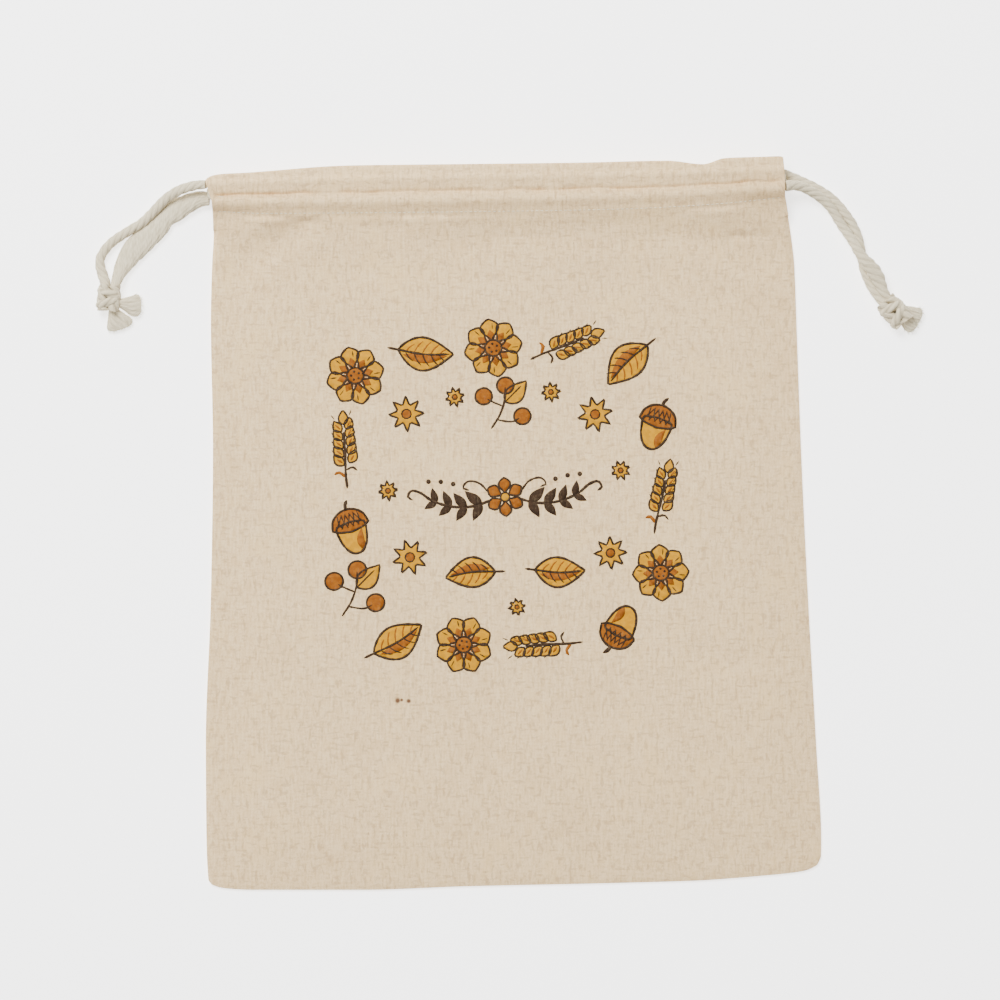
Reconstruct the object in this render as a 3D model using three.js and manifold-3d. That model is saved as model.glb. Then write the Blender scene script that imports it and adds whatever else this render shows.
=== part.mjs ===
// A linen bread bag with a drawstring at either side, lying flat on its back.
// Millimetres. +X is across the bag, +Y runs up to its mouth, +Z is up from the table, and the
// origin is under the middle of the cloth. Two panels, each turned over at the top into a casing,
// hold two cords: each cord goes in at one side, turns back at the other and is knotted outside.
import * as THREE from "three";
import { mergeVertices } from "three/addons/utils/BufferGeometryUtils.js";
import Module from "manifold-3d";

const wasm = await Module();
wasm.setup();

// Driving sizes
const CLOTH = 1.0; // thickness of a layer of linen
const GAP = 0.3; // between pieces that touch
const PRESSED_CORD = 4.6; // across a cord inside its casing
const WIDTH = 300; // of the bag, for distances in from its sides
const HEM_PAST_STITCH = 3.5; // how far the casing's turned edge runs below its stitching
const FOLD_DROOP = 0.35; // how far the front's top fold sinks, for each mm that its cord is behind it
const MOUTH_TUCK = 6.0; // how far the turned layers stop short of the casing's ends
const TUCK_REACH = 40; // over which they are drawn in
const RUN_INSET = 1.0; // from the casing's mouth to the end of the cord inside it
const TURN_INSET = MOUTH_TUCK + 0.8; // from the far mouth to where it starts to turn back
const FOLD_RADIUS = CLOTH / 2 + GAP / 2; // of the cloth's middle, round the top fold

const EASE = 0.15; // between a cord and the cloth round it, past the gap
const WRAP = PRESSED_CORD / 2 + GAP + EASE + CLOTH / 2; // from a cord's middle to that cloth's

// Levels of the middles of the layers, from the table up
const BACK_OUTER = CLOTH / 2;
const BACK_CORD = BACK_OUTER + WRAP;
const BACK_INNER = BACK_CORD + WRAP;
const FRONT_INNER = BACK_INNER + CLOTH + GAP;
const FRONT_CORD = FRONT_INNER + WRAP;
const BACK_HEM = BACK_OUTER + CLOTH + GAP;
const FRONT_BODY = BACK_OUTER + CLOTH + GAP;

// The climb from the body to the casing, in shares of the height from the turned edge to the
// casing's inner layer
const FOOT_PAST_STITCH = 1.6;
const FOOT_RISE = 0.32;
const STITCH_RISE = 0.9;
const SHOULDER_WAY = 0.4; // from the lower cord's side to the stitching, as a share
const SHOULDER_DROP = 1.4; // below the lower cord's middle
const UNDERSIDE_WAY = 0.6; // from the lower cord to the stitching, where the inner layer sinks
const UNDERSIDE_SINK = 0.5;

// How much of the tuck each inner layer takes
const FOLD_TUCK = 0.7;
const STITCH_TUCK = 0.5;
const HEM_TUCK = 0.2;

const BACK_DIP = 0.1; // share of the dip between the cords that the back's casing takes
const WALL_LEAN = 92; // angles from straight up at which the cloth's rows stand round a cord
const WALL_STEPS = [62, 31];

// Steps of the meshes
const COLUMNS = 27;
const END_CROWDING = 0.1; // draws the columns towards the sides
const BODY_ROWS = 14;
const FOLD_STEPS = 4;
const RUN_SIDES = 8;
const TURN_STEPS = 6;

// The cloth's side edges, at heights y
const SIDES = [
  { y: -176.5, left: -147.6, right: 149.0 },
  { y: -174.0, left: -149.2, right: 149.6 },
  { y: -156.0, left: -150.1, right: 150.5 },
  { y: -108.0, left: -150.5, right: 148.0 },
  { y: -36.0, left: -148.0, right: 144.0 },
  { y: 36.0, left: -147.0, right: 140.6 },
  { y: 108.0, left: -148.1, right: 137.9 },
  { y: 142.0, left: -146.6, right: 135.0 },
  { y: 156.0, left: -146.8, right: 133.2 },
  { y: 161.0, left: -148.2, right: 132.2 },
  { y: 168.0, left: -150.0, right: 132.0 },
  { y: 179.1, left: -150.2, right: 131.2 },
];

// The cloth's bottom and top edges, at shares u of its width
const ENDS = [
  { u: 0.0, bottom: -176.5, top: 168.9 },
  { u: 0.013, bottom: -177.9, top: 170.2 },
  { u: 0.066, bottom: -179.1, top: 171.0 },
  { u: 0.25, bottom: -179.1, top: 174.6 },
  { u: 0.42, bottom: -177.4, top: 175.2 },
  { u: 0.65, bottom: -175.9, top: 176.0 },
  { u: 0.8, bottom: -174.6, top: 176.9 },
  { u: 0.86, bottom: -173.4, top: 175.2 },
  { u: 0.9, bottom: -172.4, top: 178.2 },
  { u: 0.97, bottom: -170.1, top: 178.9 },
  { u: 0.994, bottom: -167.1, top: 179.1 },
  { u: 1.0, bottom: -163.2, top: 178.6 },
];

// The heights y at which the two cords and the casing's stitching run, and how deep the cloth
// dips between the cords, at shares u
const CASING = [
  { u: 0.0, upper: 164.8, lower: 157.3, stitch: 152.5, dip: 1.4 },
  { u: 0.1, upper: 165.7, lower: 156.8, stitch: 151.2, dip: 2.4 },
  { u: 0.3, upper: 167.4, lower: 157.4, stitch: 151.6, dip: 3.1 },
  { u: 0.5, upper: 168.2, lower: 158.2, stitch: 152.2, dip: 3.1 },
  { u: 0.7, upper: 169.0, lower: 159.4, stitch: 153.2, dip: 3.0 },
  { u: 0.86, upper: 170.2, lower: 161.4, stitch: 155.4, dip: 2.5 },
  { u: 0.95, upper: 171.2, lower: 163.2, stitch: 157.8, dip: 1.9 },
  { u: 1.0, upper: 171.7, lower: 164.2, stitch: 159.4, dip: 1.4 },
];

// The front's slope down from its casing to the body, below the casing's turned edge
const SLOPE = [
  { below: 0, rise: 4.1 },
  { below: 3, rise: 3.0 },
  { below: 8, rise: 1.8 },
  { below: 16, rise: 0.8 },
  { below: 28, rise: 0.0 },
];

// The front's fullness over the back, and the soft creases that pull on it
const CROWN = 1.5;
const SEAM_REACH = 34; // from the seams to the full crown
const CREASES = [
  { from: [-60, 146], to: [-99, 148], reach: 12, rise: -0.7 },
  { from: [-99, 148], to: [-146, 118], reach: 13, rise: -1.1 },
  { from: [-20, 142], to: [72, 146], reach: 14, rise: -0.9 },
  { from: [72, 146], to: [136, 128], reach: 14, rise: -1.2 },
  { from: [-120, 106], to: [10, 110], reach: 34, rise: 0.9 },
  { from: [-150, -60], to: [-138, -165], reach: 22, rise: -0.8 },
  { from: [90, -66], to: [148, -70], reach: 14, rise: -0.8 },
  { from: [-60, -130], to: [60, -122], reach: 40, rise: 0.5 },
];

// The free cords, from the casing's mouth to the knot: the middle's place and height, and the
// half width and half height of the loosely laid plies round it
const STRANDS = {
  left_strand_upper: [
    { x: -149.8, y: 164.9, z: 11.5, wide: 2.2, high: 2.2 },
    { x: -154.6, y: 164.7, z: 10.4, wide: 2.5, high: 2.5 },
    { x: -165.5, y: 162.7, z: 7.4, wide: 2.6, high: 2.5 },
    { x: -172.1, y: 157.9, z: 5.0, wide: 2.5, high: 2.5 },
    { x: -176.6, y: 153.4, z: 3.6, wide: 2.5, high: 2.5 },
    { x: -181.5, y: 148.6, z: 2.8, wide: 2.4, high: 2.4 },
    { x: -187.3, y: 143.8, z: 2.6, wide: 2.4, high: 2.4 },
    { x: -193.8, y: 139.7, z: 2.6, wide: 2.5, high: 2.5 },
    { x: -199.5, y: 134.4, z: 2.6, wide: 2.5, high: 2.5 },
    { x: -202.1, y: 129.2, z: 2.7, wide: 2.5, high: 2.5 },
    { x: -201.6, y: 122.8, z: 3.4, wide: 2.4, high: 2.4 },
    { x: -200.2, y: 117.8, z: 4.8, wide: 2.1, high: 2.1 },
    { x: -199.3, y: 113.6, z: 5.6, wide: 2.1, high: 2.1 },
  ],
  left_strand_lower: [
    { x: -148.6, y: 157.4, z: 3.7, wide: 2.3, high: 2.3 },
    { x: -152.6, y: 157.6, z: 3.4, wide: 3.0, high: 2.3 },
    { x: -161.2, y: 155.0, z: 2.7, wide: 3.5, high: 2.3 },
    { x: -167.7, y: 150.0, z: 2.5, wide: 4.0, high: 2.2 },
    { x: -174.3, y: 143.4, z: 2.4, wide: 4.5, high: 2.1 },
    { x: -180.6, y: 137.5, z: 2.4, wide: 4.6, high: 2.1 },
    { x: -185.2, y: 133.1, z: 2.4, wide: 4.2, high: 2.2 },
    { x: -188.1, y: 129.1, z: 2.5, wide: 3.8, high: 2.3 },
    { x: -190.9, y: 125.0, z: 2.8, wide: 3.2, high: 2.3 },
    { x: -193.2, y: 121.4, z: 3.8, wide: 2.5, high: 2.3 },
    { x: -194.6, y: 117.8, z: 5.0, wide: 2.1, high: 2.1 },
    { x: -194.8, y: 113.6, z: 5.6, wide: 2.1, high: 2.1 },
  ],
  right_strand_upper: [
    { x: 131.6, y: 171.4, z: 3.7, wide: 2.3, high: 2.3 },
    { x: 135.0, y: 170.9, z: 3.4, wide: 2.4, high: 2.4 },
    { x: 140.7, y: 169.0, z: 2.8, wide: 2.5, high: 2.5 },
    { x: 148.1, y: 166.0, z: 2.6, wide: 2.5, high: 2.5 },
    { x: 155.6, y: 161.6, z: 2.6, wide: 2.5, high: 2.5 },
    { x: 160.6, y: 157.0, z: 2.6, wide: 2.5, high: 2.5 },
    { x: 164.8, y: 150.9, z: 2.6, wide: 2.4, high: 2.4 },
    { x: 168.4, y: 145.2, z: 2.6, wide: 2.4, high: 2.4 },
    { x: 170.6, y: 139.3, z: 2.5, wide: 2.4, high: 2.4 },
    { x: 171.2, y: 133.4, z: 2.5, wide: 2.4, high: 2.4 },
    { x: 171.6, y: 127.4, z: 2.5, wide: 2.4, high: 2.4 },
    { x: 173.2, y: 121.4, z: 2.8, wide: 2.4, high: 2.4 },
    { x: 175.6, y: 116.0, z: 3.6, wide: 2.3, high: 2.3 },
    { x: 178.3, y: 111.6, z: 4.8, wide: 2.1, high: 2.1 },
    { x: 181.4, y: 107.8, z: 5.6, wide: 2.1, high: 2.1 },
  ],
  right_strand_lower: [
    { x: 132.4, y: 163.7, z: 11.5, wide: 2.3, high: 2.3 },
    { x: 136.4, y: 163.5, z: 10.4, wide: 2.5, high: 2.5 },
    { x: 142.5, y: 162.2, z: 8.2, wide: 2.5, high: 2.5 },
    { x: 149.4, y: 158.9, z: 5.4, wide: 2.5, high: 2.5 },
    { x: 154.1, y: 154.6, z: 3.8, wide: 2.5, high: 2.5 },
    { x: 158.0, y: 149.2, z: 3.2, wide: 2.5, high: 2.4 },
    { x: 161.4, y: 143.4, z: 3.8, wide: 2.6, high: 2.4 },
    { x: 164.9, y: 138.0, z: 6.0, wide: 2.7, high: 2.4 },
    { x: 168.6, y: 133.1, z: 7.9, wide: 3.0, high: 2.3 },
    { x: 173.0, y: 128.8, z: 7.7, wide: 3.3, high: 2.3 },
    { x: 176.9, y: 124.2, z: 6.7, wide: 3.4, high: 2.3 },
    { x: 179.9, y: 119.3, z: 5.8, wide: 3.0, high: 2.3 },
    { x: 181.9, y: 114.2, z: 5.6, wide: 2.1, high: 2.1 },
    { x: 184.8, y: 110.8, z: 5.8, wide: 2.1, high: 2.1 },
  ],
};

const PLIES = 3;
const LAY = 15; // length of one turn of the plies
const PLY_SIDES = 3; // points of the section on each ply
const PLY_DIP = 0.8; // how far in the grooves between plies reach, as a share of the radius
const STRAND_STEP = 1.8;
const WRAP_CORD = 4.2; // across the cord drawn tight round a knot
const WRAP_LEAN = 20; // degrees
const WRAP_PLACE = 0.34; // of a wrap from the knot's middle, as a share of the half length
const HEART = [0.9, 0.84, 0.94]; // the knot's heart inside its wraps, in shares of the half sizes
const TAIL_LOOSENESS = 4; // a tail's lay against the cord's

// A knot's middle, its half sizes along the cord, across it and up, and the cord's bearing there
const KNOTS = {
  left: { at: [-197.2, 110.1, 5.7], half: [6.5, 6.2, 5.5], bearing: -95 },
  right: { at: [186.4, 103.6, 5.9], half: [7.4, 7.0, 5.7], bearing: -48 },
};

// The frayed tails, from inside the knot outwards; they widen as the plies spread
const TAILS = {
  left_tail_lower: [
    { x: -195.2, y: 106.0, z: 5.0, wide: 2.1, high: 2.0 },
    { x: -194.7, y: 102.3, z: 3.8, wide: 2.5, high: 2.2 },
    { x: -194.2, y: 99.2, z: 2.7, wide: 3.8, high: 2.2 },
    { x: -195.2, y: 95.8, z: 2.1, wide: 4.6, high: 1.8 },
    { x: -196.8, y: 92.9, z: 1.4, wide: 4.0, high: 1.1 },
  ],
  left_tail_upper: [
    { x: -193.6, y: 107.2, z: 5.0, wide: 2.1, high: 2.0 },
    { x: -190.4, y: 106.4, z: 4.4, wide: 2.7, high: 2.2 },
    { x: -187.6, y: 105.7, z: 3.6, wide: 4.6, high: 2.2 },
    { x: -185.0, y: 105.1, z: 2.8, wide: 6.2, high: 1.8 },
    { x: -182.4, y: 104.9, z: 2.1, wide: 6.8, high: 1.3 },
  ],
  right_tail_upper: [
    { x: 190.2, y: 104.0, z: 5.0, wide: 2.1, high: 2.0 },
    { x: 193.4, y: 103.3, z: 4.2, wide: 2.5, high: 2.2 },
    { x: 196.2, y: 102.7, z: 3.3, wide: 3.1, high: 2.0 },
    { x: 199.2, y: 102.2, z: 2.4, wide: 3.2, high: 1.4 },
  ],
  right_tail_lower: [
    { x: 188.6, y: 101.0, z: 5.0, wide: 2.1, high: 2.0 },
    { x: 190.8, y: 98.9, z: 4.0, wide: 2.3, high: 2.1 },
    { x: 192.7, y: 97.1, z: 3.1, wide: 2.8, high: 2.0 },
    { x: 194.8, y: 95.2, z: 2.3, wide: 3.0, high: 1.4 },
  ],
};

const LINEN = { color: 0xd7cab9, roughness: 0.92, metalness: 0 };
const COTTON = { color: 0xd0cdc2, roughness: 0.88, metalness: 0 };

const mix = (a, b, t) => a + (b - a) * t;

function smooth(t) {
  const held = Math.min(1, Math.max(0, t));
  return held * held * (3 - 2 * held);
}

// A function through a table's rows that never swings past them
function through(rows, at, value) {
  const xs = rows.map((row) => row[at]);
  const ys = rows.map((row) => row[value]);
  const slopes = xs.slice(1).map((x, i) => (ys[i + 1] - ys[i]) / (x - xs[i]));
  const lean = xs.map((x, i) => {
    const before = slopes[Math.max(0, i - 1)];
    const after = slopes[Math.min(slopes.length - 1, i)];
    return before * after <= 0 ? 0 : (2 * before * after) / (before + after);
  });
  return (x) => {
    const held = Math.min(xs[xs.length - 1], Math.max(xs[0], x));
    const i = Math.min(slopes.length - 1, Math.max(0, xs.findIndex((end) => end >= held) - 1));
    const span = xs[i + 1] - xs[i];
    const t = (held - xs[i]) / span;
    const s = 1 - t;
    return (
      s * s * (1 + 2 * t) * ys[i] +
      t * t * (1 + 2 * s) * ys[i + 1] +
      s * s * t * span * lean[i] -
      t * t * s * span * lean[i + 1]
    );
  };
}

const leftEdge = through(SIDES, "y", "left");
const rightEdge = through(SIDES, "y", "right");
const bottomEdge = through(ENDS, "u", "bottom");
const topEdge = through(ENDS, "u", "top");
const upperCord = through(CASING, "u", "upper");
const lowerCord = through(CASING, "u", "lower");
const stitchHeight = through(CASING, "u", "stitch");
const dipBetween = through(CASING, "u", "dip");
const slopeBelow = through(SLOPE, "below", "rise");

// Depths below the top edge
const upperLane = (u) => topEdge(u) - upperCord(u);
const lowerLane = (u) => topEdge(u) - lowerCord(u);
const stitchLine = (u) => topEdge(u) - stitchHeight(u);
const hemLine = (u) => stitchLine(u) + HEM_PAST_STITCH;
const acrossAt = (u, y) => mix(leftEdge(y), rightEdge(y), u);

// How near a point is to a crease's line, from 1 on it to 0 at its reach
function nearness(x, y, crease) {
  const [x0, y0] = crease.from;
  const [dx, dy] = [crease.to[0] - x0, crease.to[1] - y0];
  const share = ((x - x0) * dx + (y - y0) * dy) / (dx * dx + dy * dy);
  const held = Math.min(1, Math.max(0, share));
  const away = Math.hypot(x - x0 - held * dx, y - y0 - held * dy);
  return smooth(1 - away / crease.reach);
}

// Height of the front's middle over the body
function frontHeight(u, y) {
  const x = acrossAt(u, y);
  const below = topEdge(u) - hemLine(u) - y;
  const fromSides = Math.min(u, 1 - u) * WIDTH;
  const fullness = smooth(Math.min(fromSides, y - bottomEdge(u)) / SEAM_REACH);
  const dips = CREASES.reduce((sum, c) => sum + c.rise * nearness(x, y, c), 0);
  return FRONT_BODY + slopeBelow(below) + fullness * Math.max(0, CROWN + dips);
}

// The cloth round the top of a cord, as depths below the top edge and heights, at angles from
// straight up; a positive angle is on the mouth's side
function overCord(depth, height, angles) {
  return angles.map((degrees) => {
    const a = THREE.MathUtils.degToRad(degrees);
    return { depth: depth - WRAP * Math.sin(a), z: height + WRAP * Math.cos(a) };
  });
}

// The valley that the cloth makes between two cords, no deeper than a share of its dip
function valley(u, cordHeight, share = 1) {
  const side = Math.min(1, (lowerLane(u) - upperLane(u)) / 2 / WRAP);
  const lifted = cordHeight + WRAP * Math.sqrt(1 - side * side) + EASE;
  return {
    depth: (upperLane(u) + lowerLane(u)) / 2,
    z: Math.max(cordHeight + WRAP - share * dipBetween(u), lifted),
  };
}

// The top fold, from its upper layer round to its lower one
function fold(middle) {
  return Array.from({ length: FOLD_STEPS + 1 }, (_, i) => {
    const a = (Math.PI * i) / FOLD_STEPS;
    const out = CLOTH / 2 + FOLD_RADIUS * (1 - Math.sin(a));
    return { depth: out, z: middle + FOLD_RADIUS * Math.cos(a) };
  });
}

// The front panel's section at u: up the body, over both cords, round the fold and back under
function frontSection(u) {
  const [stitch, hem, low, high] = [stitchLine(u), hemLine(u), lowerLane(u), upperLane(u)];
  const hemHeight = FRONT_BODY + SLOPE[0].rise;
  const rows = [];
  const bodyTop = topEdge(u) - hem - SLOPE[SLOPE.length - 1].below;
  for (let i = 0; i < BODY_ROWS; i++) {
    const y = mix(bottomEdge(u), bodyTop, i / BODY_ROWS);
    rows.push({ y, z: frontHeight(u, y) });
  }
  for (const { below } of [...SLOPE].reverse()) {
    const y = topEdge(u) - hem - below;
    rows.push({ y, z: frontHeight(u, y) });
  }
  const stitched = mix(hemHeight, FRONT_INNER, STITCH_RISE);
  const [wide, slight] = WALL_STEPS;
  const casing = [
    { depth: stitch + FOOT_PAST_STITCH, z: mix(hemHeight, FRONT_INNER, FOOT_RISE) },
    { depth: stitch, z: stitched },
    { depth: mix(low + WRAP, stitch, SHOULDER_WAY), z: FRONT_CORD - SHOULDER_DROP },
    ...overCord(low, FRONT_CORD, [-WALL_LEAN, -wide, -slight, 0, slight]),
    valley(u, FRONT_CORD),
    ...overCord(high, FRONT_CORD, [-slight, 0, slight, wide, WALL_LEAN]),
    ...fold(FRONT_INNER - FOLD_DROOP * (high - WRAP)),
    { depth: high - 1, z: FRONT_INNER, tuck: FOLD_TUCK },
    { depth: (high + low) / 2, z: FRONT_INNER, tuck: 1 },
    { depth: low, z: FRONT_INNER, tuck: 1 },
    { depth: mix(low, stitch, UNDERSIDE_WAY), z: FRONT_INNER - UNDERSIDE_SINK, tuck: 1 },
    { depth: stitch, z: stitched - CLOTH - GAP, tuck: STITCH_TUCK },
    { depth: hem, z: hemHeight - CLOTH - GAP, tuck: HEM_TUCK },
  ];
  const top = topEdge(u);
  return [...rows, ...casing.map(({ depth, z, tuck }) => ({ y: top - depth, z, tuck }))];
}

// The back panel's section at u: flat on the table, round the fold and back over both cords
function backSection(u) {
  const [stitch, low, top] = [stitchLine(u), lowerLane(u), topEdge(u)];
  const flat = [0, 1 / 3, 2 / 3].map((share) => mix(bottomEdge(u), top - stitch, share));
  const [wide, slight] = WALL_STEPS;
  const overCords = [
    ...overCord(upperLane(u), BACK_CORD, [WALL_LEAN, wide, slight, 0]),
    valley(u, BACK_CORD, BACK_DIP),
    ...overCord(low, BACK_CORD, [0, -slight, -wide, -WALL_LEAN]),
  ];
  const casing = [
    { depth: stitch, z: BACK_OUTER },
    { depth: low, z: BACK_OUTER },
    { depth: upperLane(u), z: BACK_OUTER },
    ...fold(BACK_OUTER + FOLD_RADIUS).reverse(),
    ...overCords.map((row) => ({ ...row, tuck: 1 })),
    { depth: mix(low + WRAP, stitch, UNDERSIDE_WAY), z: BACK_HEM + UNDERSIDE_SINK, tuck: FOLD_TUCK },
    { depth: stitch, z: BACK_HEM, tuck: STITCH_TUCK },
    { depth: hemLine(u), z: BACK_HEM, tuck: HEM_TUCK },
  ];
  return [
    ...flat.map((y) => ({ y, z: BACK_OUTER })),
    ...casing.map(({ depth, z, tuck }) => ({ y: top - depth, z, tuck })),
  ];
}

// A closed geometry from rings that have as many points each, with its ends filled
function loft(rings, capFan) {
  const around = rings[0].length;
  const faces = [];
  for (let i = 0; i + 1 < rings.length; i++) {
    for (let j = 0; j < around; j++) {
      const k = (j + 1) % around;
      const [a, b] = [i * around + j, i * around + k];
      faces.push(a, b + around, b, a, a + around, b + around);
    }
  }
  const last = (rings.length - 1) * around;
  for (const [p, q, r] of capFan(around)) faces.push(p, q, r, last + p, last + r, last + q);
  const geometry = new THREE.BufferGeometry();
  const points = rings.flat(2);
  geometry.setAttribute("position", new THREE.Float32BufferAttribute(points, 3));
  geometry.setIndex(faces);
  geometry.computeVertexNormals();
  return geometry;
}

// The end of a strip: its two faces' points run out along one and home along the other
function stripCap(around) {
  const fan = [];
  for (let j = 0; j < around / 2 - 1; j++) {
    const far = around - 1 - j;
    fan.push([j, j + 1, far], [j + 1, far - 1, far]);
  }
  return fan;
}

// The end of a round cord
function roundCap(around) {
  return Array.from({ length: around - 2 }, (_, j) => [0, j + 1, j + 2]);
}

// The share at which a tucked layer stands: near the casing's mouths it is drawn in from them
function tuckedShare(u, tuck) {
  const drawn = 1 - smooth((Math.min(u, 1 - u) * WIDTH) / TUCK_REACH);
  return u + Math.sign(0.5 - u) * drawn * tuck * (MOUTH_TUCK / WIDTH);
}

// One column of a panel: the section's line thickened to the cloth on both sides
function ringOf(sectionAt, u) {
  const rows = sectionAt(u).map((row, i) => {
    const share = tuckedShare(u, row.tuck ?? 0);
    const { y, z } = row.tuck ? sectionAt(share)[i] : row;
    return { x: acrossAt(share, y), y, z };
  });
  const [top, under] = [[], []];
  rows.forEach(({ x, y, z }, i) => {
    const before = rows[Math.max(0, i - 1)];
    const after = rows[Math.min(rows.length - 1, i + 1)];
    const [dy, dz] = [after.y - before.y, after.z - before.z];
    const half = CLOTH / 2 / Math.hypot(dy, dz);
    top.push([x, y - dz * half, z + dy * half]);
    under.push([x, y + dz * half, z - dy * half]);
  });
  return [...top, ...under.reverse()];
}

// The shares of the width at which the cloth's columns stand
function columnShares() {
  return Array.from({ length: COLUMNS }, (_, i) => {
    const t = i / (COLUMNS - 1);
    return t - END_CROWDING * Math.sin(2 * Math.PI * t);
  });
}

function panel(sectionAt) {
  return loft(columnShares().map((u) => ringOf(sectionAt, u)), stripCap);
}

// The places of a cord laid through the casings: in by one lane, round at the far side and back
function runPlaces(entry) {
  const [near, far, inwards] = entry === "left" ? [0, 1, 1] : [1, 0, -1];
  const [frontLane, backLane] = near === 0 ? [upperLane, lowerLane] : [lowerLane, upperLane];
  const laneAt = (u, lane, z) => {
    const y = topEdge(u) - lane(u);
    return new THREE.Vector3(acrossAt(u, y), y, z);
  };
  const first = near + (inwards * RUN_INSET) / WIDTH;
  const last = far - (inwards * TURN_INSET) / WIDTH;
  const between = columnShares()
    .map((u) => mix(near, far, u))
    .filter((u) => Math.min(Math.abs(u - near), Math.abs(u - far)) * WIDTH > TURN_INSET);
  const shares = [first, ...between, last];
  const start = laneAt(last, frontLane, FRONT_CORD);
  const end = laneAt(last, backLane, BACK_CORD);
  const middle = start.clone().add(end).multiplyScalar(0.5);
  const arm = start.clone().sub(middle);
  const turn = Array.from({ length: TURN_STEPS - 1 }, (_, i) => {
    const a = (Math.PI * (i + 1)) / TURN_STEPS;
    const place = middle.clone().addScaledVector(arm, Math.cos(a));
    place.x += inwards * arm.length() * Math.sin(a);
    return place;
  });
  return [
    ...shares.map((u) => laneAt(u, frontLane, FRONT_CORD)),
    ...turn,
    ...shares.reverse().map((u) => laneAt(u, backLane, BACK_CORD)),
  ];
}

// A round cord through places, its section carried along without a twist
function run(entry) {
  const places = runPlaces(entry);
  const up = new THREE.Vector3(0, 0, 1);
  const rings = places.map((place, i) => {
    const before = places[Math.max(0, i - 1)];
    const ahead = places[Math.min(places.length - 1, i + 1)].clone().sub(before).normalize();
    up.addScaledVector(ahead, -up.dot(ahead)).normalize();
    const side = new THREE.Vector3().crossVectors(ahead, up);
    return Array.from({ length: RUN_SIDES }, (_, j) => {
      const a = (2 * Math.PI * (j + 0.5)) / RUN_SIDES;
      const point = place.clone().addScaledVector(side, (Math.cos(a) * PRESSED_CORD) / 2);
      return point.addScaledVector(up, (Math.sin(a) * PRESSED_CORD) / 2).toArray();
    });
  });
  return loft(rings, roundCap);
}

// A laid cord on a table of places, its plies raised and turning once in each lay
function laidCord(rows, lay) {
  const curve = new THREE.CatmullRomCurve3(
    rows.map(({ x, y, z }) => new THREE.Vector3(x, y, z)),
    false,
    "centripetal",
  );
  const steps = Math.max(3, Math.round(curve.getLength() / STRAND_STEP));
  const around = PLIES * PLY_SIDES;
  const rings = [];
  for (let i = 0; i <= steps; i++) {
    const t = i / steps;
    const centre = curve.getPointAt(t);
    const ahead = curve.getTangentAt(t);
    const side = new THREE.Vector3(ahead.y, -ahead.x, 0).normalize();
    const up = new THREE.Vector3().crossVectors(side, ahead).normalize();
    const share = curve.getUtoTmapping(t) * (rows.length - 1);
    const row = Math.min(rows.length - 2, Math.floor(share));
    const wide = mix(rows[row].wide, rows[row + 1].wide, share - row);
    const high = mix(rows[row].high, rows[row + 1].high, share - row);
    const turned = (2 * Math.PI * curve.getLength() * t) / lay;
    const ring = [];
    for (let j = 0; j < around; j++) {
      const a = turned + (2 * Math.PI * j) / around;
      const reach = j % PLY_SIDES === 0 ? PLY_DIP : 1;
      const offset = side.clone().multiplyScalar(Math.cos(a) * wide * reach);
      offset.addScaledVector(up, Math.sin(a) * high * reach);
      ring.push(centre.clone().add(offset).toArray());
    }
    rings.push(ring);
  }
  return loft(rings, roundCap);
}

function toSolid(geometry) {
  const bare = geometry.clone();
  bare.deleteAttribute("normal");
  bare.deleteAttribute("uv");
  const merged = mergeVertices(bare, 1e-4);
  return new wasm.Manifold(
    new wasm.Mesh({
      numProp: 3,
      vertProperties: merged.attributes.position.array,
      triVerts: new Uint32Array(merged.index.array),
    }),
  );
}

function toGeometry(solid) {
  const made = solid.getMesh();
  const geometry = new THREE.BufferGeometry();
  geometry.setAttribute("position", new THREE.BufferAttribute(made.vertProperties, 3));
  geometry.setIndex(new THREE.BufferAttribute(made.triVerts, 1));
  geometry.computeVertexNormals();
  return geometry;
}

// An overhand knot drawn tight: a rounded heart with the cord's two wraps standing proud of it.
// Grown by a margin, the same shape cuts back what runs into it.
function knot({ at, half, bearing }, margin = 0) {
  const [long, broad, tall] = half;
  const tube = WRAP_CORD / 2 + margin;
  const heart = new THREE.SphereGeometry(1, 14, 10)
    .scale(...half.map((reach, i) => reach * HEART[i] + margin))
    .rotateZ(THREE.MathUtils.degToRad(bearing));
  const wrap = (lean, shift) =>
    new THREE.TorusGeometry(tall - WRAP_CORD / 2, tube, 7, 16)
      .scale(1, broad / tall, 1)
      .rotateY(Math.PI / 2)
      .rotateZ(THREE.MathUtils.degToRad(lean))
      .translate(shift, 0, 0)
      .rotateZ(THREE.MathUtils.degToRad(bearing));
  return toSolid(heart)
    .add(toSolid(wrap(WRAP_LEAN, -long * WRAP_PLACE)))
    .add(toSolid(wrap(-WRAP_LEAN, long * WRAP_PLACE)))
    .translate(at);
}

const bag = new THREE.Group();

function addPiece(name, geometry, look) {
  const mesh = new THREE.Mesh(geometry, new THREE.MeshStandardMaterial(look));
  mesh.name = name;
  bag.add(mesh);
}

addPiece("back_panel", panel(backSection), LINEN);
addPiece("front_panel", panel(frontSection), LINEN);
addPiece("left_cord_run", run("left"), COTTON);
addPiece("right_cord_run", run("right"), COTTON);
for (const [side, shape] of Object.entries(KNOTS)) {
  const cutter = knot(shape, GAP);
  addPiece(`${side}_knot`, toGeometry(knot(shape)), COTTON);
  for (const [name, rows] of Object.entries({ ...STRANDS, ...TAILS })) {
    if (!name.startsWith(side)) continue;
    const lay = name in TAILS ? LAY * TAIL_LOOSENESS : LAY;
    addPiece(name, toGeometry(toSolid(laidCord(rows, lay)).subtract(cutter)), COTTON);
  }
}

export default bag;
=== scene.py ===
"""The looks of a linen bread bag with a knotted drawstring at either side.

The bag lies flat on its back. Tables and drawn shapes are in millimetres, in the frame of the
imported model: +X is across the bag, +Y runs up to its mouth and +Z is up from the table. Meshes
are in metres.
"""

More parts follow.
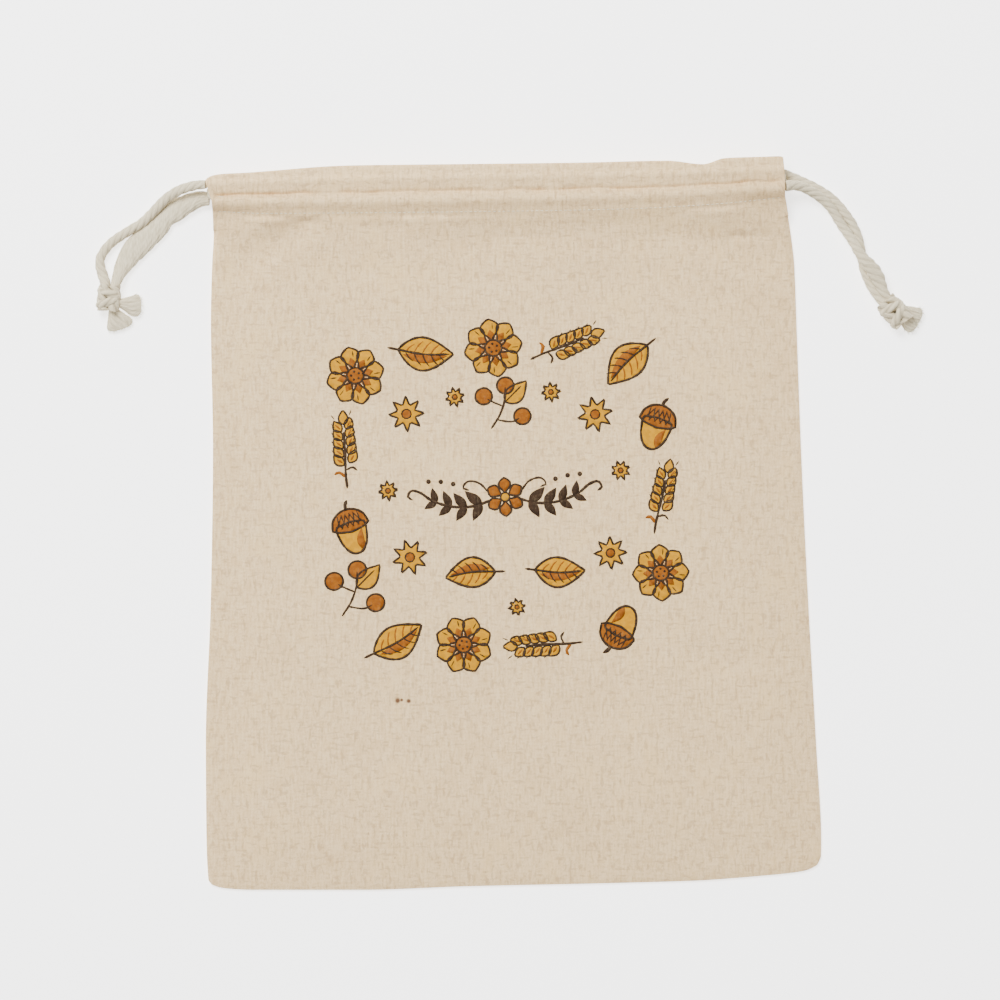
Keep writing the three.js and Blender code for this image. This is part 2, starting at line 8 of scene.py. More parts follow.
import logging  # noqa: E402
import math  # noqa: E402
from dataclasses import dataclass  # noqa: E402
from enum import Enum  # noqa: E402
from typing import Callable, Iterable, Mapping, Sequence  # noqa: E402

import bpy  # noqa: E402
import numpy as np  # noqa: E402
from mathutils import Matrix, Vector, geometry  # noqa: E402


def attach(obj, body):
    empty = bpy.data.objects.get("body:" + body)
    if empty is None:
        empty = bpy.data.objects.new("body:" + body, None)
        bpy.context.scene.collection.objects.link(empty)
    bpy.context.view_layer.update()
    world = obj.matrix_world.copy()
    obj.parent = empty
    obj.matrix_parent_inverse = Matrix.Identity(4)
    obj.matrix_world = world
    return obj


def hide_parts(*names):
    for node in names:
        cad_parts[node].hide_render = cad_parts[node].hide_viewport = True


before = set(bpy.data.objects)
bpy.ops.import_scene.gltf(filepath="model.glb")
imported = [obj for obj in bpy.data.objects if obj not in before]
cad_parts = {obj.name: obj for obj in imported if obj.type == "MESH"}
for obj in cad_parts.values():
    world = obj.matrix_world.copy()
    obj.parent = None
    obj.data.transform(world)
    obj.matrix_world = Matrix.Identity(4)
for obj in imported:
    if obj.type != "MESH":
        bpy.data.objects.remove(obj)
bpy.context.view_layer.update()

LOG = logging.getLogger("bread_bag")
MM = 0.001
BODY = "root"
TURN = 2 * math.pi

Colour = tuple[float, float, float, float]
Place = tuple[float, float, float]
Rows = Sequence[Sequence[float]]
Array = np.ndarray
Mesh = bpy.types.Mesh
Material = bpy.types.Material
Node = bpy.types.Node
Piece = bpy.types.Object
Socket = bpy.types.NodeSocket


def smooth(t: Array) -> Array:
    """Eases a share from 0 to 1, and holds it outside them."""
    held = np.clip(t, 0.0, 1.0)
    return held * held * (3 - 2 * held)


def mix(a: Array, b: Array, t: Array) -> Array:
    """Goes from a to b by a share t."""
    return a + (b - a) * t


def tint(red: int, green: int, blue: int) -> Colour:
    """Makes a linear colour from the three numbers of a screen colour.

    Args:
        red: 0 to 255.
        green: 0 to 255.
        blue: 0 to 255.

    Returns:
        The linear colour with full alpha.
    """
    shares = [value / 255 for value in (red, green, blue)]
    linear = [s / 12.92 if s <= 0.04045 else ((s + 0.055) / 1.055) ** 2.4 for s in shares]
    return (linear[0], linear[1], linear[2], 1.0)


def hermite(values: Array, lean: Array, row: Array, t: Array, span: Array) -> Array:
    """Follows values and their leans by a share t of the span that starts at each row."""
    s = 1 - t
    return (s * s * (1 + 2 * t) * values[row] + t * t * (1 + 2 * s) * values[row + 1]
            + s * s * t * span * lean[row] - t * t * s * span * lean[row + 1])


class Track:
    """A value followed along a table without ever swinging past its rows."""

    def __init__(self, rows: Rows, value: int) -> None:
        """Reads one value of a table.

        Args:
            rows: the table, whose rows start with the place.
            value: which number of a row is followed.
        """
        table = np.array(rows, float)
        self.places, self.values = table[:, 0], table[:, value]
        slopes = np.diff(self.values) / np.diff(self.places)
        before = np.concatenate([slopes[:1], slopes])
        after = np.concatenate([slopes, slopes[-1:]])
        total = np.where(before + after == 0, 1.0, before + after)
        self.lean = np.where(before * after <= 0, 0.0, 2 * before * after / total)

    def __call__(self, at: Array) -> Array:
        """Gives the value at a place.

        Args:
            at: the place, held to the table's ends.

        Returns:
            The value there.
        """
        at = np.clip(at, self.places[0], self.places[-1])
        row = np.clip(np.searchsorted(self.places, at) - 1, 0, len(self.places) - 2)
        span = self.places[row + 1] - self.places[row]
        return hermite(self.values, self.lean, row, (at - self.places[row]) / span, span)


def spline(points: Array, knots: Array, at: Array) -> Array:
    """Runs a smooth curve through points.

    Args:
        points: one point a knot, along the first axis.
        knots: their places along the curve, rising.
        at: the places wanted.

    Returns:
        The curve's points at those places.
    """
    points = np.asarray(points, float)
    wide = (slice(None),) + (None,) * (points.ndim - 1)
    spans = np.diff(knots)[wide]
    slopes = np.diff(points, axis=0) / spans
    inner = (slopes[:-1] * spans[1:] + slopes[1:] * spans[:-1]) / (spans[:-1] + spans[1:])
    lean = np.concatenate([slopes[:1], inner, slopes[-1:]])
    row = np.clip(np.searchsorted(knots, at, side="right") - 1, 0, len(knots) - 2)
    span = (knots[row + 1] - knots[row])[wide]
    return hermite(points, lean, row, (at - knots[row])[wide] / span, span)


class Ripple:
    """A smooth seeded unevenness over a plane, from -1 to 1."""

    CELLS = 96

    def __init__(self, seed: int, across: float, along: float, turn: float = 0.0) -> None:
        """Sows the unevenness.

        Args:
            seed: of its random lattice.
            across: size of a swelling along X.
            along: size of a swelling along Y.
            turn: angle of the lattice, in degrees.
        """
        self.lattice = np.random.default_rng(seed).uniform(-1, 1, (self.CELLS, self.CELLS))
        self.across, self.along = across, along
        self.turn = math.radians(turn)

    def __call__(self, x: Array, y: Array) -> Array:
        """Gives the unevenness.

        Args:
            x: across, in millimetres.
            y: along, in millimetres.

        Returns:
            Its value at each point.
        """
        c, s = math.cos(self.turn), math.sin(self.turn)
        a, b = (x * c + y * s) / self.across, (y * c - x * s) / self.along
        i, j = np.floor(a).astype(int), np.floor(b).astype(int)
        p, q = smooth(a - i), smooth(b - j)
        n = self.CELLS
        low = mix(self.lattice[i % n, j % n], self.lattice[(i + 1) % n, j % n], p)
        high = mix(self.lattice[i % n, (j + 1) % n], self.lattice[(i + 1) % n, (j + 1) % n], p)
        return mix(low, high, q)


def link(name: str, mesh: Mesh) -> Piece:
    """Puts a mesh in the scene as an object at the origin.

    Args:
        name: of the object.
        mesh: its mesh, already in place.

    Returns:
        The object.
    """
    piece = bpy.data.objects.new(name, mesh)
    bpy.context.scene.collection.objects.link(piece)
    return piece


def make_mesh(name: str, points: Array, faces: Sequence[Sequence[int]],
              edges: Sequence[Sequence[int]] = ()) -> Mesh:
    """Makes a smooth-shaded mesh from millimetres.

    Args:
        name: of the mesh.
        points: its vertices, in millimetres.
        faces: its faces.
        edges: its loose edges.

    Returns:
        The mesh, in metres.
    """
    mesh = bpy.data.meshes.new(name)
    mesh.from_pydata((np.asarray(points, float) * MM).tolist(), list(edges), list(faces))
    mesh.shade_smooth()
    mesh.update()
    return mesh


def line_mesh(name: str, lines: Sequence[Array]) -> Mesh:
    """Makes a mesh of separate lines.

    Args:
        name: of the mesh.
        lines: the points of each, in millimetres.

    Returns:
        The mesh.
    """
    edges, start = [], 0
    for line in lines:
        edges += [(start + i, start + i + 1) for i in range(len(line) - 1)]
        start += len(line)
    return make_mesh(name, np.concatenate(lines), (), edges)


def set_values(mesh: Mesh, name: str, values: Array) -> None:
    """Stores a number or a vector for each vertex.

    Args:
        mesh: the mesh.
        name: of the attribute.
        values: one number or three for each vertex.
    """
    flat = np.asarray(values, np.float32)
    kind, slot = ("FLOAT", "value") if flat.ndim == 1 else ("FLOAT_VECTOR", "vector")
    mesh.attributes.new(name, kind, "POINT").data.foreach_set(slot, flat.ravel())


def set_uv(mesh: Mesh, places: Array) -> None:
    """Lays the cloth's flat places on a mesh as its UV map, in metres.

    Args:
        mesh: the mesh.
        places: two numbers for each vertex, in millimetres.
    """
    corners = np.empty(len(mesh.loops), np.int32)
    mesh.loops.foreach_get("vertex_index", corners)
    layer = mesh.uv_layers.new(name="cloth")
    layer.data.foreach_set("uv", (places[corners] * MM).astype(np.float32).ravel())


class Wiring:
    """Adds and joins the nodes of one tree."""

    def __init__(self, tree: bpy.types.NodeTree) -> None:
        """Keeps the tree."""
        self.tree = tree

    def add(self, kind: str, inputs: Mapping | None = None, **settings: object) -> Node:
        """Adds a node.

        Args:
            kind: its Blender type.
            inputs: values or sockets for its inputs, by name or number.
            settings: its own properties.

        Returns:
            The node.
        """
        node = self.tree.nodes.new(kind)
        for name, value in settings.items():
            setattr(node, name, value)
        for key, value in (inputs or {}).items():
            if isinstance(value, Socket):
                self.tree.links.new(value, node.inputs[key])
            else:
                node.inputs[key].default_value = value
        return node

    def get(self, kind: str, inputs: Mapping | None = None, **settings: object) -> Socket:
        """Adds a node and gives its first output."""
        return self.add(kind, inputs, **settings).outputs[0]

    def join(self, value: Socket, node: Node, label: str) -> None:
        """Joins a value to a node's input."""
        self.tree.links.new(value, node.inputs[label])

    def math(self, operation: str, *values: object) -> Socket:
        """Adds a sum of numbers and gives its result."""
        return self.get("ShaderNodeMath", dict(enumerate(values)), operation=operation)

    def vector(self, operation: str, *values: object) -> Socket:
        """Adds a sum of vectors and gives its vector result."""
        return self.get("ShaderNodeVectorMath", dict(enumerate(values)), operation=operation)

    def scale(self, vector: object, share: object) -> Socket:
        """Multiplies a vector by a number."""
        return self.get("ShaderNodeVectorMath", {0: vector, "Scale": share}, operation="SCALE")

    def ramp(self, value: object, low: float, high: float, start: float = 0.0,
             end: float = 1.0) -> Socket:
        """Eases a value from start at low to end at high, and holds it outside them."""
        numbers = dict(enumerate([value, low, high, start, end]))
        return self.get("ShaderNodeMapRange", numbers, interpolation_type="SMOOTHSTEP")

    def blend(self, share: object, a: object, b: object) -> Socket:
        """Mixes a share of colour b into colour a."""
        return self.add("ShaderNodeMix", {0: share, 6: a, 7: b}, data_type="RGBA").outputs[2]

    def noise(self, place: object, scale: float, detail: float = 2.0) -> Socket:
        """Adds a noise and gives its number."""
        return self.get("ShaderNodeTexNoise", {"Vector": place, "Scale": scale, "Detail": detail})

    def stretch(self, place: object, x: float, y: float, z: float) -> Socket:
        """Multiplies a place by a number for each axis."""
        return self.vector("MULTIPLY", place, (x, y, z))


class GrowthTree:
    """A geometry tree with named inputs that turns a carrier mesh into a plain piece."""

    def __init__(self, name: str, sizes: Mapping[str, float]) -> None:
        """Opens the tree.

        Args:
            name: of the tree.
            sizes: the usual value of each named input, whole numbers as int.
        """
        self.tree = bpy.data.node_groups.new(name, "GeometryNodeTree")
        face = self.tree.interface
        face.new_socket("Geometry", in_out="INPUT", socket_type="NodeSocketGeometry")
        self.keys: dict[str, str] = {}
        for label, value in sizes.items():
            kind = "NodeSocketInt" if isinstance(value, int) else "NodeSocketFloat"
            socket = face.new_socket(label, in_out="INPUT", socket_type=kind)
            socket.default_value = value
            self.keys[label] = socket.identifier
        finish = face.new_socket("Finish", in_out="INPUT", socket_type="NodeSocketMaterial")
        self.keys["Finish"] = finish.identifier
        face.new_socket("Geometry", in_out="OUTPUT", socket_type="NodeSocketGeometry")
        self.wiring = Wiring(self.tree)
        self.inlet = self.tree.nodes.new("NodeGroupInput").outputs

    def named(self, label: str, kind: str = "FLOAT") -> Socket:
        """Reads an attribute of the geometry."""
        return self.wiring.get("GeometryNodeInputNamedAttribute", {"Name": label}, data_type=kind)

    def keep(self, made: Socket, label: str, value: Socket, kind: str = "FLOAT") -> Socket:
        """Stores a value of a Blender kind on the geometry's points under a name."""
        inputs = {"Geometry": made, "Name": label, "Value": value}
        return self.wiring.get("GeometryNodeStoreNamedAttribute", inputs, data_type=kind,
                               domain="POINT")

    def line(self, step: str) -> Socket:
        """Takes the carrier as a line, with its points a named length apart."""
        line = self.wiring.get("GeometryNodeMeshToCurve", {"Mesh": self.inlet["Geometry"]})
        return self.wiring.get("GeometryNodeResampleCurve",
                               {"Curve": line, "Length": self.inlet[step]}, mode="LENGTH")

    def fibre(self, line: Socket, sides: object, thick: Socket) -> Socket:
        """Sweeps a line into a closed fibre with a thickness of its own."""
        ring = self.wiring.get("GeometryNodeCurvePrimitiveCircle",
                               {"Resolution": sides, "Radius": 1.0})
        return self.wiring.get("GeometryNodeCurveToMesh", {
            "Curve": line, "Profile Curve": ring, "Scale": thick, "Fill Caps": True})

    def random(self, low: Place, high: Place) -> Socket:
        """Gives each point a seeded vector between two others."""
        return self.wiring.get("FunctionNodeRandomValue",
                               {0: low, 1: high, "Seed": self.inlet["Seed"]},
                               data_type="FLOAT_VECTOR")

    def close(self, made: Socket) -> None:
        """Ends the tree in realized instances, none below the table, with the finish on them.

        Args:
            made: the geometry.
        """
        w = self.wiring
        real = w.get("GeometryNodeRealizeInstances", {"Geometry": made})
        raised = w.vector("MAXIMUM", w.get("GeometryNodeInputPosition"), (-1.0, -1.0, 0.0))
        rested = w.get("GeometryNodeSetPosition", {"Geometry": real, "Position": raised})
        soft = w.get("GeometryNodeSetShadeSmooth", {"Geometry": rested})
        dressed = w.get("GeometryNodeSetMaterial", {
            "Geometry": soft, "Material": self.inlet["Finish"]})
        self.tree.links.new(dressed, self.tree.nodes.new("NodeGroupOutput").inputs[0])

    def grow(self, name: str, carrier: Mesh, finish: Material, **sizes: float) -> Piece:
        """Runs the tree on a carrier and keeps the plain result.

        Args:
            name: of the finished piece.
            carrier: the mesh that the tree starts from.
            finish: its material.
            sizes: inputs that differ from the usual ones, with _ for a space.

        Returns:
            The finished piece.
        """
        source = link(name + "_carrier", carrier)
        growth = source.modifiers.new("growth", "NODES")
        growth.node_group = self.tree
        growth[self.keys["Finish"]] = finish
        for label, value in sizes.items():
            growth[self.keys[label.replace("_", " ")]] = value
        grown = source.evaluated_get(bpy.context.evaluated_depsgraph_get())
        mesh = bpy.data.meshes.new_from_object(grown)
        source.modifiers.remove(growth)
        bpy.data.objects.remove(source)
        mesh.name = name
        return link(name, mesh)


class LaidCordTree(GrowthTree):
    """Sweeps a laid cord's plies and yarns along a route that carries its own frame."""

    PLY = 0.66  # radius of a ply against the cord's
    UNEVEN = 0.16  # how far the cord's size wanders
    FOLLOW = 0.8  # how far the yarns turn back against the lay, to run along the cord
    GRAIN = 330.0  # how fine the wandering is
    UNLAID = 2.5 * MM  # radius of the unlaid cord

    def __init__(self) -> None:
        """Wires the tree."""
        super().__init__("laid_cord", {
            "Step": 0.5 * MM, "Lay": 18 * MM, "Plies": 4.0, "Sides": 60, "Yarns": 16.0,
            "Yarn relief": 0.055})
        w = self.wiring
        along = w.add("GeometryNodeSplineParameter").outputs["Length"]
        rail = self.keep(self.line("Step"), "along", along)
        rail = self.keep(rail, "middle", w.get("GeometryNodeInputPosition"), "FLOAT_VECTOR")
        ring = w.get("GeometryNodeCurvePrimitiveCircle",
                     {"Resolution": self.inlet["Sides"], "Radius": MM})
        share = w.add("GeometryNodeSplineParameter").outputs["Factor"]
        swept = w.get("GeometryNodeCurveToMesh", {
            "Curve": rail, "Profile Curve": self.keep(ring, "round", share), "Fill Caps": True})
        made = self.keep(swept, "lie", self.lie(), "FLOAT_VECTOR")
        made = self.keep(made, "reach", self.reach())
        self.close(w.get("GeometryNodeSetPosition",
                         {"Geometry": made, "Position": self.surface()}))

    def reach(self) -> Socket:
        """Gives the surface's distance from the middle, as a share of the cord's half sizes.

        Returns:
            The distance.
        """
        w = self.wiring
        plies = w.math("MULTIPLY", self.named("round"), self.inlet["Plies"])
        centred = w.math("SUBTRACT", w.math("FRACT", plies), 0.5)
        angle = w.math("DIVIDE", w.math("MULTIPLY", centred, TURN), self.inlet["Plies"])
        away = 1 - self.PLY
        side = w.math("MULTIPLY", w.math("SINE", angle), away)
        chord = w.math("SUBTRACT", self.PLY**2, w.math("MULTIPLY", side, side))
        lobe = w.math("MULTIPLY_ADD", w.math("COSINE", angle), away, w.math("SQRT", chord))
        laid = w.math("DIVIDE", self.named("along"), self.inlet["Lay"])
        yarn = w.math("MULTIPLY_ADD", laid, self.FOLLOW, self.named("round"))
        turns = w.math("MULTIPLY", yarn, w.math("MULTIPLY", self.inlet["Yarns"], TURN))
        ridge = w.math("MULTIPLY", w.math("COSINE", turns), self.inlet["Yarn relief"])
        wander = w.noise(self.named("lie", "FLOAT_VECTOR"), self.GRAIN)
        swell = w.math("MULTIPLY_ADD", wander, self.UNEVEN, 0.97 - 0.5 * self.UNEVEN)
        return w.math("MULTIPLY", w.math("ADD", lobe, ridge), swell)

    def lie(self) -> Socket:
        """Gives each point's place on the unlaid cord, without a seam round it.

        Returns:
            The place.
        """
        w = self.wiring
        turned = w.math("MULTIPLY", self.named("round"), TURN)
        return w.get("ShaderNodeCombineXYZ", {
            0: w.math("MULTIPLY", w.math("COSINE", turned), self.UNLAID),
            1: w.math("MULTIPLY", w.math("SINE", turned), self.UNLAID),
            2: self.named("along")})

    def surface(self) -> Socket:
        """Gives the place of each point of the cord's surface.

        Returns:
            The place.
        """
        w = self.wiring
        laid = w.math("DIVIDE", self.named("along"), self.inlet["Lay"])
        angle = w.math("MULTIPLY", w.math("ADD", laid, self.named("round")), TURN)
        wide = w.math("MULTIPLY", self.named("wide"), self.named("reach"))
        high = w.math("MULTIPLY", self.named("high"), self.named("reach"))
        side = w.vector("NORMALIZE", self.named("side", "FLOAT_VECTOR"))
        rise = w.vector("NORMALIZE", self.named("rise", "FLOAT_VECTOR"))
        out = w.vector("ADD",
                       w.scale(side, w.math("MULTIPLY", w.math("COSINE", angle), wide)),
                       w.scale(rise, w.math("MULTIPLY", w.math("SINE", angle), high)))
        return w.vector("ADD", self.named("middle", "FLOAT_VECTOR"), out)


class StitchTree(GrowthTree):
    """Sets a row of stitches along a line that carries the cloth's normal."""

    STRAY = 0.05  # how far a stitch leans out of its line

    def __init__(self) -> None:
        """Wires the tree."""
        super().__init__("stitch_row", {
            "Pitch": 2.3 * MM, "Length": 1.9 * MM, "Thread": 0.36 * MM, "Sink": 0.22 * MM,
            "Seed": 4})
        w = self.wiring
        spots = self.line("Pitch")
        ball = w.get("GeometryNodeMeshUVSphere", {"Segments": 8, "Rings": 7, "Radius": 0.5})
        size = w.get("ShaderNodeCombineXYZ", {
            0: self.inlet["Length"], 1: self.inlet["Thread"], 2: self.inlet["Thread"]})
        thread = w.get("GeometryNodeTransform", {"Geometry": ball, "Scale": size})
        along = w.get("ShaderNodeSeparateXYZ", {0: w.get("GeometryNodeInputPosition")})
        share = w.math("DIVIDE", along, w.math("MULTIPLY", self.inlet["Length"], 0.5))
        drop = w.math("MULTIPLY", w.math("MULTIPLY", share, share),
                      w.math("MULTIPLY", self.inlet["Sink"], -1.0))
        bent = w.get("GeometryNodeSetPosition", {
            "Geometry": thread, "Offset": w.get("ShaderNodeCombineXYZ", {2: drop})})
        jitter = self.random((-self.STRAY, -self.STRAY, 0.0), (self.STRAY, self.STRAY, 0.0))
        turn = w.get("FunctionNodeAxesToRotation", {
            "Primary Axis": w.vector("ADD", w.get("GeometryNodeInputTangent"), jitter),
            "Secondary Axis": self.named("normal", "FLOAT_VECTOR")},
            primary_axis="X", secondary_axis="Z")
        self.close(w.get("GeometryNodeInstanceOnPoints",
                         {"Points": spots, "Instance": bent, "Rotation": turn}))


class FibreTree(GrowthTree):
    """Sweeps fine fibres along lines that carry their own thickness."""

    def __init__(self) -> None:
        """Wires the tree."""
        super().__init__("swept_fibres", {"Sides": 4})
        line = self.wiring.get("GeometryNodeMeshToCurve", {"Mesh": self.inlet["Geometry"]})
        self.close(self.fibre(line, self.inlet["Sides"], self.named("thick")))


class FuzzTree(GrowthTree):
    """Stands short bent fibres on a surface."""

    SIDES = 3
    BEND = 0.7  # how far a fibre's tip goes aside, for each length up
    TAPER = 0.8  # share of its thickness that it loses to the tip
    SHORTEST = 0.35  # share of the longest

    def __init__(self) -> None:
        """Wires the tree."""
        super().__init__("surface_fuzz", {
            "Density": 0.5e6, "Length": 1.3 * MM, "Thickness": 0.022 * MM, "Seed": 1})
        w = self.wiring
        spread = w.add("GeometryNodeDistributePointsOnFaces", {
            "Mesh": self.inlet["Geometry"], "Density": self.inlet["Density"],
            "Seed": self.inlet["Seed"]}).outputs
        line = w.get("GeometryNodeCurvePrimitiveLine", {"End": (0.0, 0.0, 1.0)})
        even = w.get("GeometryNodeResampleCurve", {"Curve": line, "Count": 5})
        share = w.add("GeometryNodeSplineParameter").outputs["Factor"]
        bend = w.math("MULTIPLY", w.math("MULTIPLY", share, share), self.BEND)
        bent = w.get("GeometryNodeSetPosition", {
            "Geometry": even, "Offset": w.get("ShaderNodeCombineXYZ", {0: bend})})
        taper = w.math("MULTIPLY_ADD", share, -self.TAPER, 1.0)
        thin = w.math("DIVIDE", self.inlet["Thickness"], self.inlet["Length"])
        hair = self.fibre(bent, self.SIDES, w.math("MULTIPLY", taper, thin))
        tilt = self.random((-1.0, -1.0, 0.0), (1.0, 1.0, TURN))
        tilted = w.get("FunctionNodeEulerToRotation", {0: tilt})
        turn = w.get("FunctionNodeRotateRotation", {0: spread["Rotation"], 1: tilted},
                     rotation_space="LOCAL")
        size = w.add("FunctionNodeRandomValue",
                     {2: self.SHORTEST, 3: 1.0, "Seed": self.inlet["Seed"]}, data_type="FLOAT")
        length = w.math("MULTIPLY", size.outputs[1], self.inlet["Length"])
        self.close(w.get("GeometryNodeInstanceOnPoints", {
            "Points": spread["Points"], "Instance": hair, "Rotation": turn,
            "Scale": w.scale((1.0, 1.0, 1.0), length)}))


def shader_group(name: str, inputs: Mapping[str, tuple[str, object]],
                 outputs: Sequence[str]) -> tuple[Wiring, object, Node]:
    """Opens a shader group with named sockets.

    Args:
        name: of the group.
        inputs: the socket type and the usual value of each input.
        outputs: the names of its outputs, all plain numbers.

    Returns:
        Its wiring, its inlet's sockets and its outlet.
    """
    tree = bpy.data.node_groups.new(name, "ShaderNodeTree")
    for label, (kind, value) in inputs.items():
        tree.interface.new_socket(label, in_out="INPUT", socket_type=kind).default_value = value
    for label in outputs:
        tree.interface.new_socket(label, in_out="OUTPUT", socket_type="NodeSocketFloat")
    inlet = tree.nodes.new("NodeGroupInput").outputs
    return Wiring(tree), inlet, tree.nodes.new("NodeGroupOutput")


@dataclass(frozen=True)
class Weave:
    """A plain weave of slubby threads, as a shader group that cloth and ink share."""

    pitch: float = 0.66  # between threads, in millimetres

    def group(self) -> bpy.types.NodeTree:
        """Builds the group: the threads' relief, streaks, mottling, and slubs and flecks.

        Returns:
            The shader group.
        """
        w, inlet, outlet = shader_group(
            "plain_weave",
            {"Place": ("NodeSocketVector", (0.0, 0.0, 0.0)),
             "Pitch": ("NodeSocketFloat", self.pitch * MM)},
            ("Relief", "Streaks", "Mottling", "Flecks"))
        place = inlet["Place"]
        drift = w.noise(w.stretch(place, 1.0, 1.0, 0.0), 260.0, 2.0)
        shift = w.math("MULTIPLY", w.math("SUBTRACT", drift, 0.5), 0.9)
        split = w.add("ShaderNodeSeparateXYZ", {0: place})
        warp = w.math("ADD", w.math("DIVIDE", split.outputs[0], inlet["Pitch"]), shift)
        weft = w.math("SUBTRACT", w.math("DIVIDE", split.outputs[1], inlet["Pitch"]), shift)
        crown = [self.crown(w, warp), self.crown(w, weft)]
        over = self.over(w, warp, weft)
        under = w.math("SUBTRACT", 1.0, over)
        relief = w.math("MAXIMUM", w.math("MULTIPLY", crown[0], over),
                        w.math("MULTIPLY", crown[1], under))
        w.join(relief, outlet, "Relief")
        w.join(self.streaks(w, place, over, under), outlet, "Streaks")
        broad = w.noise(w.stretch(place, 1.0, 1.0, 0.0), 21.0, 3.0)
        patch = w.noise(w.stretch(place, 1.0, 0.55, 0.0), 95.0, 2.0)
        mottling = w.math("MULTIPLY_ADD", patch, 0.5, w.math("MULTIPLY", broad, 0.5))
        w.join(mottling, outlet, "Mottling")
        fine = w.noise(w.stretch(place, 1.0, 0.4, 0.0), 700.0, 1.0)
        upright = w.ramp(w.noise(w.stretch(place, 1.0, 0.36, 0.0), 520.0, 2.0), 0.55, 0.67, 0, 0.5)
        level = w.noise(w.vector("ADD", w.stretch(place, 0.36, 1.0, 0.0), (5.0, 2.0, 0.0)),
                        560.0, 2.0)
        slubs = w.math("MAXIMUM", upright, w.ramp(level, 0.56, 0.68, 0, 0.5))
        flecks = w.math("MAXIMUM", slubs, w.ramp(fine, 0.735, 0.83))
        w.join(flecks, outlet, "Flecks")
        return w.tree

    @staticmethod
    def crown(w: Wiring, thread: Socket) -> Socket:
        """Rounds a thread across its width."""
        centred = w.math("MULTIPLY_ADD", w.math("FRACT", thread), 2.0, -1.0)
        return w.math("SUBTRACT", 1.0, w.math("MULTIPLY", centred, centred))

    @staticmethod
    def over(w: Wiring, warp: Socket, weft: Socket) -> Socket:
        """Says how far the warp lies over the weft at a place, from 0 to 1."""
        odd = w.math("MULTIPLY", w.math("ADD", w.math("FLOOR", warp), w.math("FLOOR", weft)),
                     math.pi)
        return w.math("MULTIPLY_ADD", w.math("COSINE", odd), 0.5, 0.5)

    @staticmethod
    def streaks(w: Wiring, place: Socket, over: Socket, under: Socket) -> Socket:
        """Gives the threads' uneven shades, from 0 to 1: long up the cloth, shorter across.

        Args:
            w: the group's wiring.
            place: on the cloth.
            over: how far the warp lies on top.
            under: how far the weft does.

        Returns:
            The shade.
        """
        upright = w.noise(w.stretch(place, 1.0, 0.16, 0.0), 850.0, 4.0)
        level = w.noise(w.vector("ADD", w.stretch(place, 0.22, 1.0, 0.0), (3.0, 7.0, 0.0)),
                        850.0, 4.0)
        grain = w.noise(w.stretch(place, 1.0, 0.8, 0.0), 1100.0, 2.0)
        both = w.math("MULTIPLY_ADD", upright, 0.46, w.math("MULTIPLY", level, 0.24))
        both = w.math("MULTIPLY_ADD", grain, 0.3, both)
        turned = w.math("MULTIPLY", w.math("SUBTRACT", upright, level),
                        w.math("MULTIPLY", w.math("SUBTRACT", over, under), 0.1))
        return w.math("ADD", both, turned)


def dressed(name: str, roughness: float, sheen: float) -> tuple[Material, Wiring, Node]:
    """Opens a material on one matt cloth-like shader.

    Args:
        name: of the material.
        roughness: its plain roughness.
        sheen: weight of its sheen.

    Returns:
        The material, its wiring and its shader, whose Base Color and Normal are open.
    """
    material = bpy.data.materials.new(name)
    material.use_nodes = True
    tree = material.node_tree
    tree.nodes.clear()
    w = Wiring(tree)
    shader = w.add("ShaderNodeBsdfPrincipled", {
        "Roughness": roughness, "Sheen Weight": sheen, "Sheen Roughness": 0.6,
        "Specular IOR Level": 0.15})
    w.join(shader.outputs[0], w.add("ShaderNodeOutputMaterial"), "Surface")
    return material, w, shader


def woven(w: Wiring, weave: bpy.types.NodeTree) -> tuple[Socket, Mapping[str, Socket]]:
    """Lays the weave on a material: gives the place on the cloth and the group's outputs."""
    place = w.get("ShaderNodeUVMap", uv_map="cloth")
    return place, w.add("ShaderNodeGroup", {"Place": place}, node_tree=weave).outputs


def relieve(w: Wiring, shader: Node, height: Socket, depth: float, strength: float) -> None:
    """Gives a shader its fine relief, with its depth in millimetres."""
    inputs = {"Height": height, "Distance": depth * MM, "Strength": strength}
    w.join(w.get("ShaderNodeBump", inputs), shader, "Normal")


